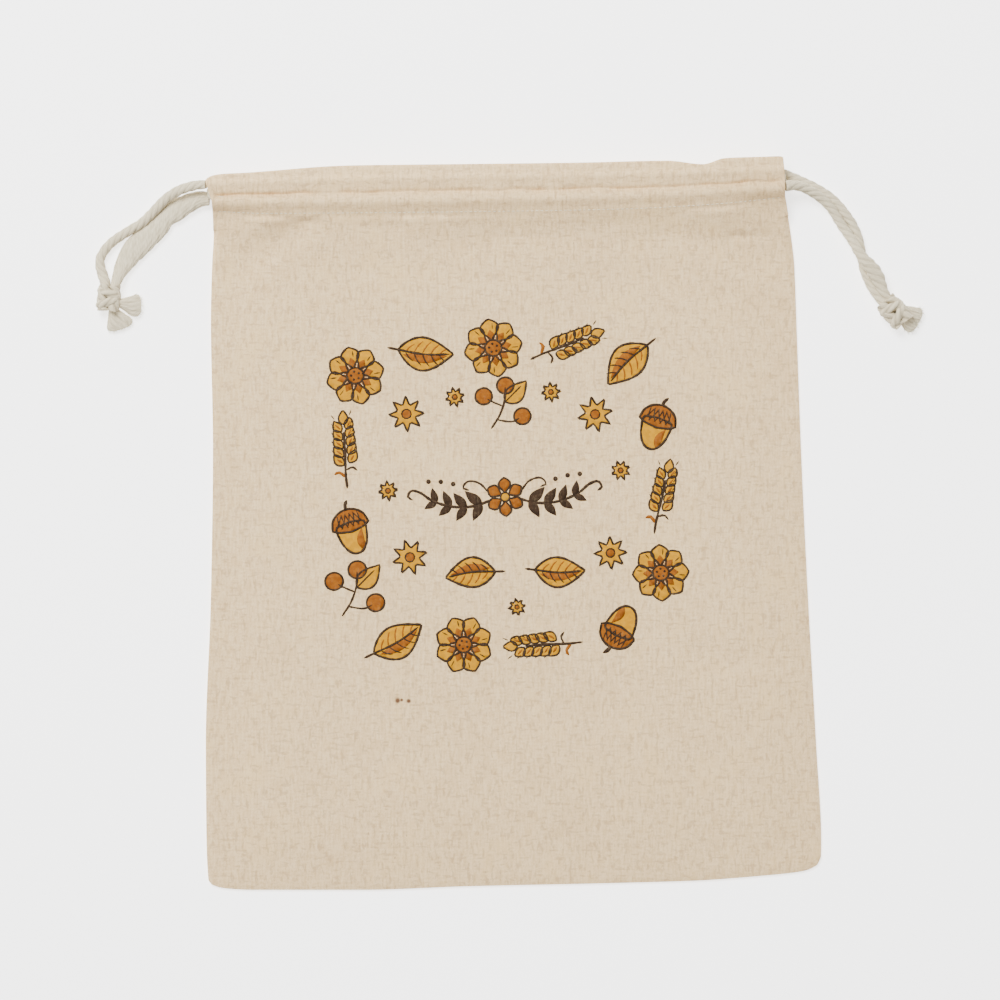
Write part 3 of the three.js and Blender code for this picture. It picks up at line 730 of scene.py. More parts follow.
@dataclass(frozen=True)
class LinenFinish:
    """Natural linen, matt, with slubs, soft patches, a few dark flecks, some burrs and painted
    shade between its threads.
    """

    name: str = "natural_linen"
    light: Colour = tint(238, 209, 161)
    deep: Colour = tint(213, 180, 131)
    straw: Colour = tint(236, 202, 144)
    fleck: Colour = tint(140, 106, 76)
    # painted shade: the darker colour laid where the weave sinks between its threads
    gap: Colour = tint(196, 162, 116)
    burr: Colour = tint(104, 74, 52)
    burrs: tuple[Place, ...] = (  # x, y and radius
        (-56.6, -86.5, 1.5), (-54.6, -86.2, 0.9), (-51.2, -86.7, 1.3))
    depth: float = 0.12  # of the weave's relief, in millimetres
    strength: float = 0.5

    def material(self, weave: bpy.types.NodeTree) -> Material:
        """Makes the material.

        Args:
            weave: the shared weave group.

        Returns:
            The material.
        """
        material, w, shader = dressed(self.name, 0.92, 0.06)
        place, threads = woven(w, weave)
        streaks = w.ramp(threads["Streaks"], 0.35, 0.63)
        base = w.blend(streaks, self.deep, self.light)
        base = w.blend(w.ramp(threads["Mottling"], 0.48, 0.68, 0.0, 0.45), base, self.straw)
        base = w.blend(w.ramp(threads["Mottling"], 0.33, 0.5, 0.32, 0.0), base, self.deep)
        # Painted shade: darker in the hollows between the threads, where the relief is low.
        base = w.blend(w.ramp(threads["Relief"], 0.0, 0.7, 0.35, 0.0), base, self.gap)
        base = w.blend(w.math("MULTIPLY", threads["Flecks"], 0.6), base, self.fleck)
        for x, y, radius in self.burrs:
            away = w.add("ShaderNodeVectorMath", {0: place, 1: (x * MM, y * MM, 0.0)},
                         operation="DISTANCE").outputs["Value"]
            near = w.ramp(away, radius * MM * 0.4, radius * MM * 1.2, 1.0, 0.0)
            base = w.blend(near, base, self.burr)
        w.join(base, shader, "Base Color")
        relieve(w, shader, threads["Relief"], self.depth, self.strength)
        return material


class Ink(Enum):
    """The print's three inks, in the order that they are laid."""

    OCHRE = "print_ochre"
    BROWN = "print_brown"
    DARK = "print_dark"


@dataclass(frozen=True)
class InkFinish:
    """Screen ink on linen: the weave shows in its relief and through its thin spots."""

    full: Colour
    thin: Colour
    worn: float  # share of the cloth that shows through the thin spots
    depth: float = 0.1  # of the weave's relief, in millimetres
    strength: float = 0.45

    def material(self, name: str, weave: bpy.types.NodeTree) -> Material:
        """Makes the material.

        Args:
            name: of the material.
            weave: the shared weave group.

        Returns:
            The material.
        """
        material, w, shader = dressed(name, 0.85, 0.0)
        place, threads = woven(w, weave)
        patchy = w.ramp(w.noise(w.stretch(place, 1.0, 1.0, 0.0), 420.0, 3.0), 0.35, 0.7)
        base = w.blend(patchy, self.full, self.thin)
        hollow = w.ramp(threads["Relief"], 0.0, 0.55, 1.0, 0.0)
        streak = w.ramp(threads["Streaks"], 0.5, 0.62)
        spots = w.math("MULTIPLY", w.math("MAXIMUM", hollow, streak), self.worn)
        base = w.blend(spots, base, LinenFinish.light)
        w.join(base, shader, "Base Color")
        relieve(w, shader, threads["Relief"], self.depth, self.strength)
        return material


INKS = {
    Ink.OCHRE: InkFinish((0.44, 0.2, 0.0, 1), (0.54, 0.25, 0.002, 1), 0.03),
    Ink.BROWN: InkFinish((0.2, 0.055, 0.002, 1), (0.27, 0.085, 0.004, 1), 0.04),
    Ink.DARK: InkFinish((0.02, 0.01, 0.005, 1), (0.036, 0.018, 0.009, 1), 0.05),
}


@dataclass(frozen=True)
class CottonFinish:
    """Soft undyed cotton: streaky along its yarns, with painted shade in the grooves of its plies.
    """

    name: str = "undyed_cotton"
    light: Colour = tint(221, 209, 180)
    shade: Colour = tint(196, 184, 154)
    # painted shade: the colour laid in the grooves between the plies
    painted_groove_shade: Colour = tint(158, 144, 117)
    depth: float = 0.16  # of the yarns' relief, in millimetres
    strength: float = 0.7

    def material(self) -> Material:
        """Makes the material.

        Returns:
            The material.
        """
        material, w, shader = dressed(self.name, 0.9, 0.1)
        lie = w.add("ShaderNodeAttribute", attribute_name="lie").outputs["Vector"]
        reach = w.add("ShaderNodeAttribute", attribute_name="reach").outputs["Fac"]
        yarns = w.noise(w.stretch(lie, 1.0, 1.0, 0.16), 2400.0, 2.0)
        patches = w.noise(w.stretch(lie, 1.0, 1.0, 0.5), 420.0, 2.0)
        base = w.blend(w.ramp(yarns, 0.3, 0.7), self.shade, self.light)
        base = w.blend(w.ramp(patches, 0.45, 0.75, 0.0, 0.35), base, self.shade)
        # Painted shade: darker where the surface sinks into the grooves between plies.
        base = w.blend(w.ramp(reach, 0.78, 0.94, 0.6, 0.0), base, self.painted_groove_shade)
        w.join(base, shader, "Base Color")
        relieve(w, shader, yarns, self.depth, self.strength)
        return material


@dataclass(frozen=True)
class FibreFinish:
    """Loose cotton fibre and sewing thread, plain but for a slow change of shade."""

    name: str = "loose_fibre"
    light: Colour = tint(230, 226, 200)
    shade: Colour = tint(208, 201, 174)

    def material(self) -> Material:
        """Makes the material.

        Returns:
            The material.
        """
        material, w, shader = dressed(self.name, 0.9, 0.1)
        place = w.add("ShaderNodeTexCoord").outputs["Object"]
        base = w.blend(w.ramp(w.noise(place, 900.0), 0.35, 0.65), self.shade, self.light)
        w.join(base, shader, "Base Color")
        return material


# Middles and half sizes of the free cords, from the casing's mouth into the knot: x, y, z, half
# width, half height
LEFT_STRAND_UPPER = (
    (-149.8, 165.1, 11.5, 2.2, 2.2), (-155.2, 164.7, 10.2, 2.4, 2.4),
    (-161.9, 162.9, 8.3, 2.5, 2.5), (-166.1, 160.9, 6.9, 2.5, 2.5), (-170.2, 158.0, 5.6, 2.5, 2.5),
    (-173.6, 154.6, 4.8, 2.5, 2.5), (-177.3, 150.8, 4.3, 2.4, 2.4), (-181.6, 146.8, 4.0, 2.4, 2.4),
    (-187.0, 143.5, 3.4, 2.4, 2.4), (-191.9, 140.5, 2.7, 2.4, 2.4), (-196.6, 137.1, 2.6, 2.4, 2.4),
    (-200.1, 133.1, 2.6, 2.4, 2.4), (-202.0, 129.1, 2.7, 2.4, 2.4), (-201.9, 125.4, 3.1, 2.5, 2.4),
    (-200.8, 121.9, 3.7, 2.6, 2.3), (-199.5, 118.0, 4.8, 2.6, 2.1), (-198.8, 113.6, 5.6, 2.1, 2.1),
)
LEFT_STRAND_LOWER = (
    (-148.6, 158.5, 3.7, 3.3, 2.5), (-153.8, 158.4, 3.3, 4.1, 2.4), (-160.0, 155.9, 2.8, 4.9, 2.3),
    (-165.3, 152.8, 2.6, 5.5, 2.2), (-169.8, 149.5, 2.4, 4.9, 2.2), (-173.9, 144.9, 2.4, 5.6, 2.2),
    (-178.1, 141.2, 2.4, 6.0, 2.1), (-182.7, 136.5, 2.4, 6.0, 2.1), (-186.9, 131.9, 2.4, 5.5, 2.1),
    (-189.4, 128.1, 2.5, 4.8, 2.2), (-191.5, 124.5, 2.9, 3.9, 2.3), (-193.0, 120.9, 3.8, 3.1, 2.3),
    (-194.1, 117.6, 5.0, 2.5, 2.2), (-195.3, 113.6, 5.6, 2.1, 2.1),
)
RIGHT_STRAND_UPPER = (
    (131.6, 170.8, 3.7, 2.6, 2.4), (135.6, 169.4, 3.3, 2.5, 2.4), (140.6, 167.2, 2.8, 2.5, 2.5),
    (145.4, 165.0, 2.6, 2.5, 2.5), (149.5, 162.8, 2.6, 2.5, 2.5), (153.3, 160.4, 2.6, 2.5, 2.5),
    (156.5, 157.8, 2.6, 2.5, 2.5), (159.9, 154.2, 2.6, 2.4, 2.4), (162.8, 150.4, 2.6, 2.4, 2.4),
    (165.3, 146.7, 2.6, 2.4, 2.4), (167.2, 142.8, 2.5, 2.4, 2.4), (168.7, 138.7, 2.5, 2.4, 2.4),
    (169.6, 134.2, 2.5, 2.4, 2.4), (170.4, 129.2, 2.5, 2.4, 2.4), (171.2, 124.7, 2.6, 2.4, 2.4),
    (172.6, 120.6, 2.9, 2.4, 2.4), (174.4, 116.6, 3.6, 2.4, 2.3), (176.8, 112.6, 4.4, 2.4, 2.2),
    (179.2, 109.2, 5.2, 2.3, 2.1), (181.2, 106.8, 5.6, 2.1, 2.1),
)
RIGHT_STRAND_LOWER = (
    (132.4, 164.4, 11.5, 2.7, 2.4), (136.6, 164.9, 10.4, 2.6, 2.5), (141.5, 163.8, 8.6, 2.5, 2.5),
    (147.0, 161.0, 6.5, 2.5, 2.5), (151.6, 157.7, 4.9, 2.5, 2.5), (155.2, 154.0, 3.9, 2.5, 2.5),
    (158.3, 149.2, 3.3, 2.5, 2.4), (160.9, 145.0, 3.4, 2.5, 2.4), (163.7, 140.9, 4.5, 2.5, 2.4),
    (166.3, 136.5, 6.0, 2.5, 2.4), (168.8, 131.9, 7.4, 2.6, 2.4), (171.2, 128.6, 7.9, 2.9, 2.3),
    (173.5, 126.0, 7.7, 3.3, 2.3), (175.8, 123.2, 7.2, 3.6, 2.3), (177.4, 120.4, 6.6, 3.6, 2.3),
    (178.8, 117.2, 6.0, 3.3, 2.3), (180.1, 114.2, 5.8, 2.8, 2.3), (182.0, 110.8, 5.6, 2.3, 2.1),
    (184.2, 108.2, 5.6, 2.1, 2.1),
)
# The same of the frayed tails, from the knot to their loosened tips
LEFT_TAIL_LOWER = (
    (-195.4, 106.0, 5.0, 2.1, 2.0), (-195.0, 103.2, 3.9, 3.0, 2.2), (-194.0, 100.6, 3.1, 4.8, 2.2),
    (-193.0, 98.4, 2.6, 6.2, 1.9), (-192.3, 96.8, 2.2, 6.4, 1.6), (-191.9, 95.7, 1.9, 5.4, 1.3),
    (-191.7, 95.1, 1.7, 3.8, 1.0),
)
LEFT_TAIL_UPPER = (
    (-193.6, 107.6, 5.0, 2.1, 2.0), (-190.8, 107.4, 4.4, 2.8, 2.2), (-188.2, 107.0, 3.7, 4.2, 2.2),
    (-185.8, 106.6, 3.1, 5.3, 1.9), (-184.0, 106.4, 2.6, 5.4, 1.6), (-182.8, 106.3, 2.2, 4.6, 1.4),
    (-182.1, 106.3, 2.0, 3.2, 1.1),
)
RIGHT_TAIL_UPPER = (
    (190.0, 104.4, 5.0, 2.1, 2.0), (192.6, 103.7, 4.3, 2.7, 2.2), (195.0, 102.7, 3.5, 3.5, 2.1),
    (197.2, 101.7, 2.8, 3.8, 1.8), (198.6, 101.1, 2.4, 3.2, 1.4), (199.2, 100.9, 2.2, 2.3, 1.1),
)
RIGHT_TAIL_LOWER = (
    (188.6, 101.2, 5.0, 2.1, 2.0), (190.8, 99.8, 4.1, 2.9, 2.1), (192.8, 98.2, 3.3, 3.7, 2.1),
    (194.6, 96.7, 2.6, 3.7, 1.8), (195.7, 95.8, 2.2, 3.0, 1.4), (196.2, 95.4, 2.0, 2.0, 1.1),
)


@dataclass(frozen=True)
class Route:
    """A cord's middle line, with its half sizes and the frame of its section."""

    points: Array
    wide: Array
    high: Array
    side: Array
    rise: Array

    @staticmethod
    def drawn(rows: Rows, spacing: float) -> Array:
        """Draws a smooth curve through rows at an even spacing.

        Args:
            rows: rows that start with x, y and z.
            spacing: between the curve's points.

        Returns:
            The rows along the curve.
        """
        table = np.array(rows, float)
        steps = np.linalg.norm(np.diff(table[:, :3], axis=0), axis=1) ** 0.5
        knots = np.concatenate([[0.0], np.cumsum(steps)])
        fine = spline(table, knots, np.linspace(0, knots[-1], 40 * len(table)))
        gone = np.linalg.norm(np.diff(fine[:, :3], axis=0), axis=1)
        length = np.concatenate([[0.0], np.cumsum(gone)])
        at = np.linspace(0, length[-1], max(3, round(length[-1] / spacing)) + 1)
        return np.stack([np.interp(at, length, column) for column in fine.T], axis=1)

    @classmethod
    def lying(cls, rows: Rows, spacing: float = 0.5) -> "Route":
        """Makes the route of a cord whose width lies level.

        Args:
            rows: x, y, z, half width and half height.
            spacing: between its points.

        Returns:
            The route.
        """
        table = cls.drawn(rows, spacing)
        ahead = np.gradient(table[:, :3], axis=0)
        ahead /= np.linalg.norm(ahead, axis=1)[:, None]
        side = np.stack([ahead[:, 1], -ahead[:, 0], np.zeros(len(ahead))], axis=1)
        side /= np.linalg.norm(side, axis=1)[:, None]
        return cls(table[:, :3], table[:, 3], table[:, 4], side, np.cross(side, ahead))

    @classmethod
    def carried(cls, points: Array, wide: float, high: float,
                rise: Place = (0.0, 0.0, 1.0)) -> "Route":
        """Makes the route of a cord whose section is carried along without a twist.

        Args:
            points: of its middle.
            wide: its half width.
            high: its half height.
            rise: the way its height points at the start.

        Returns:
            The route.
        """
        ahead = np.gradient(points, axis=0)
        ahead /= np.linalg.norm(ahead, axis=1)[:, None]
        rises, up = [], np.array(rise, float)
        for way in ahead:
            up = up - way * up.dot(way)
            up /= np.linalg.norm(up)
            rises.append(up)
        size = np.ones(len(points))
        return cls(points, wide * size, high * size, np.cross(ahead, rises), np.array(rises))

    @staticmethod
    def carrier(name: str, routes: Sequence["Route"]) -> Mesh:
        """Makes the mesh of lines that a laid cord grows on.

        Args:
            name: of the mesh.
            routes: one route for each cord.

        Returns:
            The mesh, with its half sizes and frames on its vertices.
        """
        mesh = line_mesh(name, [route.points for route in routes])
        for label in ("wide", "high"):
            sizes = np.concatenate([getattr(route, label) for route in routes])
            set_values(mesh, label, sizes * MM)
        for label in ("side", "rise"):
            set_values(mesh, label, np.concatenate([getattr(route, label) for route in routes]))
        return mesh

    def length(self) -> float:
        """Measures the route, in metres."""
        return float(np.linalg.norm(np.diff(self.points, axis=0), axis=1).sum()) * MM

    def path(self) -> list[Place]:
        """Lists the route's points, in metres."""
        return [tuple(point) for point in (self.points * MM).tolist()]


@dataclass(frozen=True)
class Workshop:
    """The trees and materials that every piece is made with."""

    laid_cord: LaidCordTree
    stitch_row: StitchTree
    swept_fibres: FibreTree
    surface_fuzz: FuzzTree
    linen: Material
    cotton: Material
    fibre: Material
    inks: Mapping[Ink, Material]

    @classmethod
    def opened(cls) -> "Workshop":
        """Builds the trees and the materials.

        Returns:
            The workshop.
        """
        weave = Weave().group()
        return cls(LaidCordTree(), StitchTree(), FibreTree(), FuzzTree(),
                   LinenFinish().material(weave), CottonFinish().material(),
                   FibreFinish().material(),
                   {ink: finish.material(ink.value, weave) for ink, finish in INKS.items()})


def settle(piece: Piece, slot: str, *nodes: str) -> Piece:
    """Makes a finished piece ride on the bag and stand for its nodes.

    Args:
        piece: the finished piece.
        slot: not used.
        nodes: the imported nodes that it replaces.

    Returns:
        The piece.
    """
    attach(piece, BODY)
    if nodes:
        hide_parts(*nodes)
    LOG.info("%s: %d faces", piece.name, len(piece.data.polygons))
    return piece


def fuzz(shop: Workshop, piece: Piece, seed: int, per_square_mm: float) -> Piece:
    """Gives a cotton piece its short loose fibres, at seeded places."""
    made = shop.surface_fuzz.grow(piece.name + "_fuzz", piece.data.copy(), shop.fibre,
                                  Density=per_square_mm / MM**2, Seed=seed)
    return settle(made, "cotton_cord")


@dataclass
class FrayedTail:
    """The loosened end of a cord outside its knot, with its yarns spread at the tip."""

    name: str
    node: str
    rows: Rows
    seed: int
    yarns: int = 150
    reach: float = 2.6  # of the loose yarns past the laid part
    spread: float = 0.7  # sideways, for each half width out
    droop: float = 0.25  # of their way at the start
    steps: int = 7  # along a loose yarn
    stray: float = 0.16  # of its way at each step
    lowest: float = 0.12  # height of its middle over the table
    thickest: tuple[float, float] = (0.09, 0.17)  # half thickness at its start
    tip: float = 0.03  # half thickness at its end

    def build(self, shop: Workshop) -> list[Piece]:
        """Builds the laid part and the loose yarns.

        Args:
            shop: the trees and materials.

        Returns:
            The pieces.
        """
        route = Route.lying(self.rows)
        carrier = Route.carrier(self.name, [route])
        laid = shop.laid_cord.grow(self.name, carrier, shop.cotton, Lay=60 * MM, Plies=5.0,
                                   Yarn_relief=0.055, Yarns=13.0, Sides=96)
        settle(laid, "cotton_cord", self.node)
        loose = shop.swept_fibres.grow(self.name + "_yarns", self.loose_yarns(route), shop.fibre)
        settle(loose, "cotton_cord")
        return [laid, loose, fuzz(shop, laid, self.seed, 1.2)]

    def loose_yarns(self, route: Route) -> Mesh:
        """Draws the loose yarns' lines.

        Args:
            route: of the laid part.

        Returns:
            The mesh of their lines, with their thickness.
        """
        rng = np.random.default_rng(self.seed)
        lines, thick = [], []
        for _ in range(self.yarns):
            at = int(rng.uniform(0.62, 0.98) * (len(route.points) - 1))
            turn, away = rng.uniform(0, TURN), math.sqrt(rng.uniform(0.1, 1.0))
            out = (route.side[at] * math.cos(turn) * route.wide[at]
                   + route.rise[at] * math.sin(turn) * route.high[at]) * away
            place = route.points[at] + out
            ahead = route.points[-1] - route.points[-3]
            way = ahead / np.linalg.norm(ahead) + out * self.spread / max(route.wide[at], 1.0)
            way[2] -= self.droop
            line = [place]
            stride = self.reach * rng.uniform(0.35, 1.0) / self.steps
            for _ in range(self.steps):
                way = way + rng.normal(0, self.stray, 3)
                place = place + way / np.linalg.norm(way) * stride
                place[2] = max(place[2], self.lowest)
                line.append(place)
            lines.append(np.array(line))
            thick.append(np.linspace(rng.uniform(*self.thickest), self.tip, self.steps + 1))
        mesh = line_mesh(self.name + "_yarns", lines)
        set_values(mesh, "thick", np.concatenate(thick) * MM)
        return mesh


@dataclass
class CordKnot:
    """An overhand knot of the doubled cord, drawn tight."""

    name: str
    node: str
    at: Place
    half: Place
    bearing: float
    seed: int
    cord: float = 2.15  # half thickness of the cord drawn round it
    lean: float = 20.0  # of the wraps, in degrees
    wrap_place: float = 0.34  # along the knot, as a share of its half length
    wrap_size: tuple[float, float] = (1.08, 0.98)  # half sizes, as shares of the cord's
    slant: float = 0.9  # of a wrap along the knot, to either side of its top
    sweep: float = 196.0  # of a wrap to either side of its top, in degrees
    dive: float = 0.34  # how deep a wrap's ends go into the knot
    core_place: float = 0.34  # across the knot, as a share of its half width
    core_size: tuple[float, float] = (0.58, 0.68)  # half sizes, as shares of its half height
    core_reach: float = 0.94  # along the knot, as a share of its half length

    def build(self, shop: Workshop) -> list[Piece]:
        """Builds the knot and its fibres.

        Args:
            shop: the trees and materials.

        Returns:
            The pieces.
        """
        routes = [self.wrap(-1), self.wrap(1), self.core(-1), self.core(1)]
        carrier = Route.carrier(self.name, routes)
        knot = shop.laid_cord.grow(self.name, carrier, shop.cotton, Step=0.55 * MM,
                                   Lay=15 * MM, Plies=3.0, Sides=48)
        settle(knot, "cotton_cord", self.node)
        return [knot, fuzz(shop, knot, self.seed, 0.7)]

    def placed(self, points: Array) -> Array:
        """Turns points from the knot's own axes to the bag's."""
        c, s = math.cos(math.radians(self.bearing)), math.sin(math.radians(self.bearing))
        return points @ np.array([[c, s, 0], [-s, c, 0], [0, 0, 1]]) + np.array(self.at)

    def wrap(self, end: int) -> Route:
        """Draws one wrap, whose ends dive into the knot underneath.

        Args:
            end: -1 for the wrap nearer the strands, 1 for the one nearer the tails.

        Returns:
            Its route.
        """
        long, broad, tall = self.half
        share = np.linspace(-1, 1, 72)
        angle = math.radians(90) + share * math.radians(self.sweep)
        dive = 1 - self.dive * smooth((np.abs(share) - 0.72) / 0.28)
        radius = (tall - self.cord) * dive
        leaned = math.radians(self.lean) * -end
        across = np.cos(angle) * radius * broad / tall
        x = across * math.sin(leaned) + end * long * self.wrap_place + share * self.slant
        points = np.stack([x, across * math.cos(leaned), np.sin(angle) * radius], axis=1)
        placed = self.placed(points)
        wide, high = self.wrap_size
        return Route.carried(placed, self.cord * wide, self.cord * high,
                             tuple(placed[0] - np.array(self.at)))

    def core(self, side: int) -> Route:
        """Draws one of the two cords that pass through the knot.

        Args:
            side: -1 or 1, across the knot.

        Returns:
            Its route.
        """
        long, broad, tall = self.half
        x = np.linspace(-long * self.core_reach, long * self.core_reach, 30)
        y = side * (broad * self.core_place + 0.5 * np.cos(x / long * 2.2))
        z = side * 0.5 * np.sin(x / long * 2.4) + 0.3
        wide, high = self.core_size
        return Route.carried(self.placed(np.stack([x, y, z], axis=1)), tall * wide, tall * high)


@dataclass
class FreeStrand:
    """A free stretch of laid cord, from the casing's mouth into the knot."""

    name: str
    node: str
    rows: Rows
    seed: int
    diameter: float = 5.0
    plies: float = 4.0
    lay: float = 18.0

    def build(self, shop: Workshop) -> None:
        """Builds the strand and its fibres.

        Args:
            shop: the trees and materials.
        """
        self.route = Route.lying(self.rows)
        carrier = Route.carrier(self.name, [self.route])
        self.piece = shop.laid_cord.grow(self.name, carrier, shop.cotton, Plies=self.plies,
                                         Lay=self.lay * MM)
        settle(self.piece, "cotton_cord", self.node)
        self.fibres = fuzz(shop, self.piece, self.seed, 0.8)

    def declare(self, with_pieces: Iterable[Piece]) -> None:
        """Works out the strand's path and its length, and keeps neither."""
        path = self.route.path()
        round(self.route.length(), 3)


class Side(Enum):
    """A side of the bag."""

    LEFT = "left"
    RIGHT = "right"


@dataclass
class Drawstring:
    """One cord outside its casings: two strands, a knot and two frayed tails."""

    side: Side

    def build(self, shop: Workshop) -> None:
        """Args:
            shop: the trees and materials.
        """
        left = self.side is Side.LEFT
        seed = 10 if left else 30
        upper = FreeStrand(*self.names("rope_upper", "strand_upper"),
                           LEFT_STRAND_UPPER if left else RIGHT_STRAND_UPPER, seed)
        lower = FreeStrand(*self.names("rope_lower", "strand_lower"),
                           LEFT_STRAND_LOWER if left else RIGHT_STRAND_LOWER, seed + 1,
                           *((8.0, 6.0, 36.0) if left else ()))
        upper.build(shop)
        lower.build(shop)
        knot = CordKnot(*self.names("rope_knot", "knot"),
                        (-197.5, 110.2, 5.7) if left else (186.0, 103.4, 5.9),
                        (6.5, 6.7, 5.5) if left else (7.4, 7.3, 5.7),
                        -95.0 if left else -48.0, seed + 2).build(shop)
        tails = [FrayedTail(*self.names("frayed_upper", "tail_upper"),
                            LEFT_TAIL_UPPER if left else RIGHT_TAIL_UPPER, seed + 3),
                 FrayedTail(*self.names("frayed_lower", "tail_lower"),
                            LEFT_TAIL_LOWER if left else RIGHT_TAIL_LOWER, seed + 4)]
        ends = [tail.build(shop) for tail in tails]
        upper.declare([*knot, *ends[0]])
        lower.declare(ends[1])

    def names(self, piece: str, node: str) -> tuple[str, str]:
        """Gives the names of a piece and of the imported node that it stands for."""
        return f"{self.side.value}_{piece}", f"{self.side.value}_{node}"


# Heights y, and the cloth's left and right edges there
SIDES = (
    (-176.5, -147.6, 149.0), (-174.0, -149.2, 149.6), (-156.0, -150.1, 150.5),
    (-108.0, -150.5, 148.0), (-36.0, -148.0, 144.0), (36.0, -147.0, 140.6), (100.0, -148.0, 138.3),
    (126.0, -147.4, 137.3), (142.0, -146.6, 135.5), (156.0, -146.8, 133.2), (161.0, -148.2, 132.2),
    (168.0, -150.0, 132.0), (179.1, -150.2, 131.2),
)
# Shares of the width, and the cloth's bottom and top edges there
ENDS = (
    (0.0, -176.5, 167.4), (0.004, -177.0, 168.5), (0.013, -177.9, 169.7), (0.03, -178.6, 170.5),
    (0.066, -179.1, 171.0), (0.25, -179.1, 174.6), (0.42, -177.4, 175.2), (0.65, -175.9, 176.0),
    (0.8, -174.6, 176.9), (0.86, -173.4, 175.2), (0.9, -172.4, 178.2), (0.97, -170.1, 178.9),
    (0.994, -167.1, 179.1), (1.0, -163.2, 178.6),
)
# Shares of the width, the heights of the upper and lower cords and of the stitching, and how
# deep the cloth dips between the cords
CASING = (
    (0.0, 164.8, 157.3, 152.5, 0.7), (0.1, 165.7, 156.8, 151.2, 0.9),
    (0.3, 167.4, 157.4, 151.6, 1.0), (0.5, 168.2, 158.2, 152.2, 1.0),
    (0.7, 169.0, 159.4, 153.2, 1.0), (0.86, 170.2, 161.4, 155.4, 0.9),
    (0.95, 171.2, 163.2, 157.8, 0.8), (1.0, 171.7, 164.2, 159.4, 0.7),
)
# Distances below the casing's turned edge, and the front's rise there
SLOPE = ((0.0, 7.7), (4.0, 6.2), (10.0, 4.4), (18.0, 2.5), (28.0, 1.0), (38.0, 0.3), (48.0, 0.0))


@dataclass(frozen=True)
class Crease:
    """A soft crease or swelling of the front, along a line."""

    start: tuple[float, float]
    end: tuple[float, float]
    reach: float
    rise: float

    def nearness(self, x: Array, y: Array) -> Array:
        """Says how near points are, from 1 on the line to 0 at its reach.

        Args:
            x: across.
            y: along.

        Returns:
            The nearness of each point.
        """
        run = np.array(self.end) - np.array(self.start)
        share = ((x - self.start[0]) * run[0] + (y - self.start[1]) * run[1]) / run.dot(run)
        held = np.clip(share, 0, 1)
        away = np.hypot(x - self.start[0] - held * run[0], y - self.start[1] - held * run[1])
        return smooth(1 - away / self.reach)


CREASES = (
    Crease((-60, 146), (-99, 148), 12, -0.8), Crease((-103, 146), (-146, 119), 13, -2.0),
    Crease((-116, 151), (-146, 138), 8, 0.8), Crease((-20, 142), (66, 144), 16, -1.4),
    Crease((80, 143), (136, 128), 16, -1.8), Crease((-120, 106), (10, 110), 34, 0.9),
    Crease((-150, -60), (-138, -165), 22, -0.8), Crease((90, -66), (148, -70), 14, -0.8),
    Crease((-60, -130), (60, -122), 40, 0.5), Crease((107, 140.3), (133, 140.8), 2.8, -1.5),
)

Section = tuple[Array, Array]


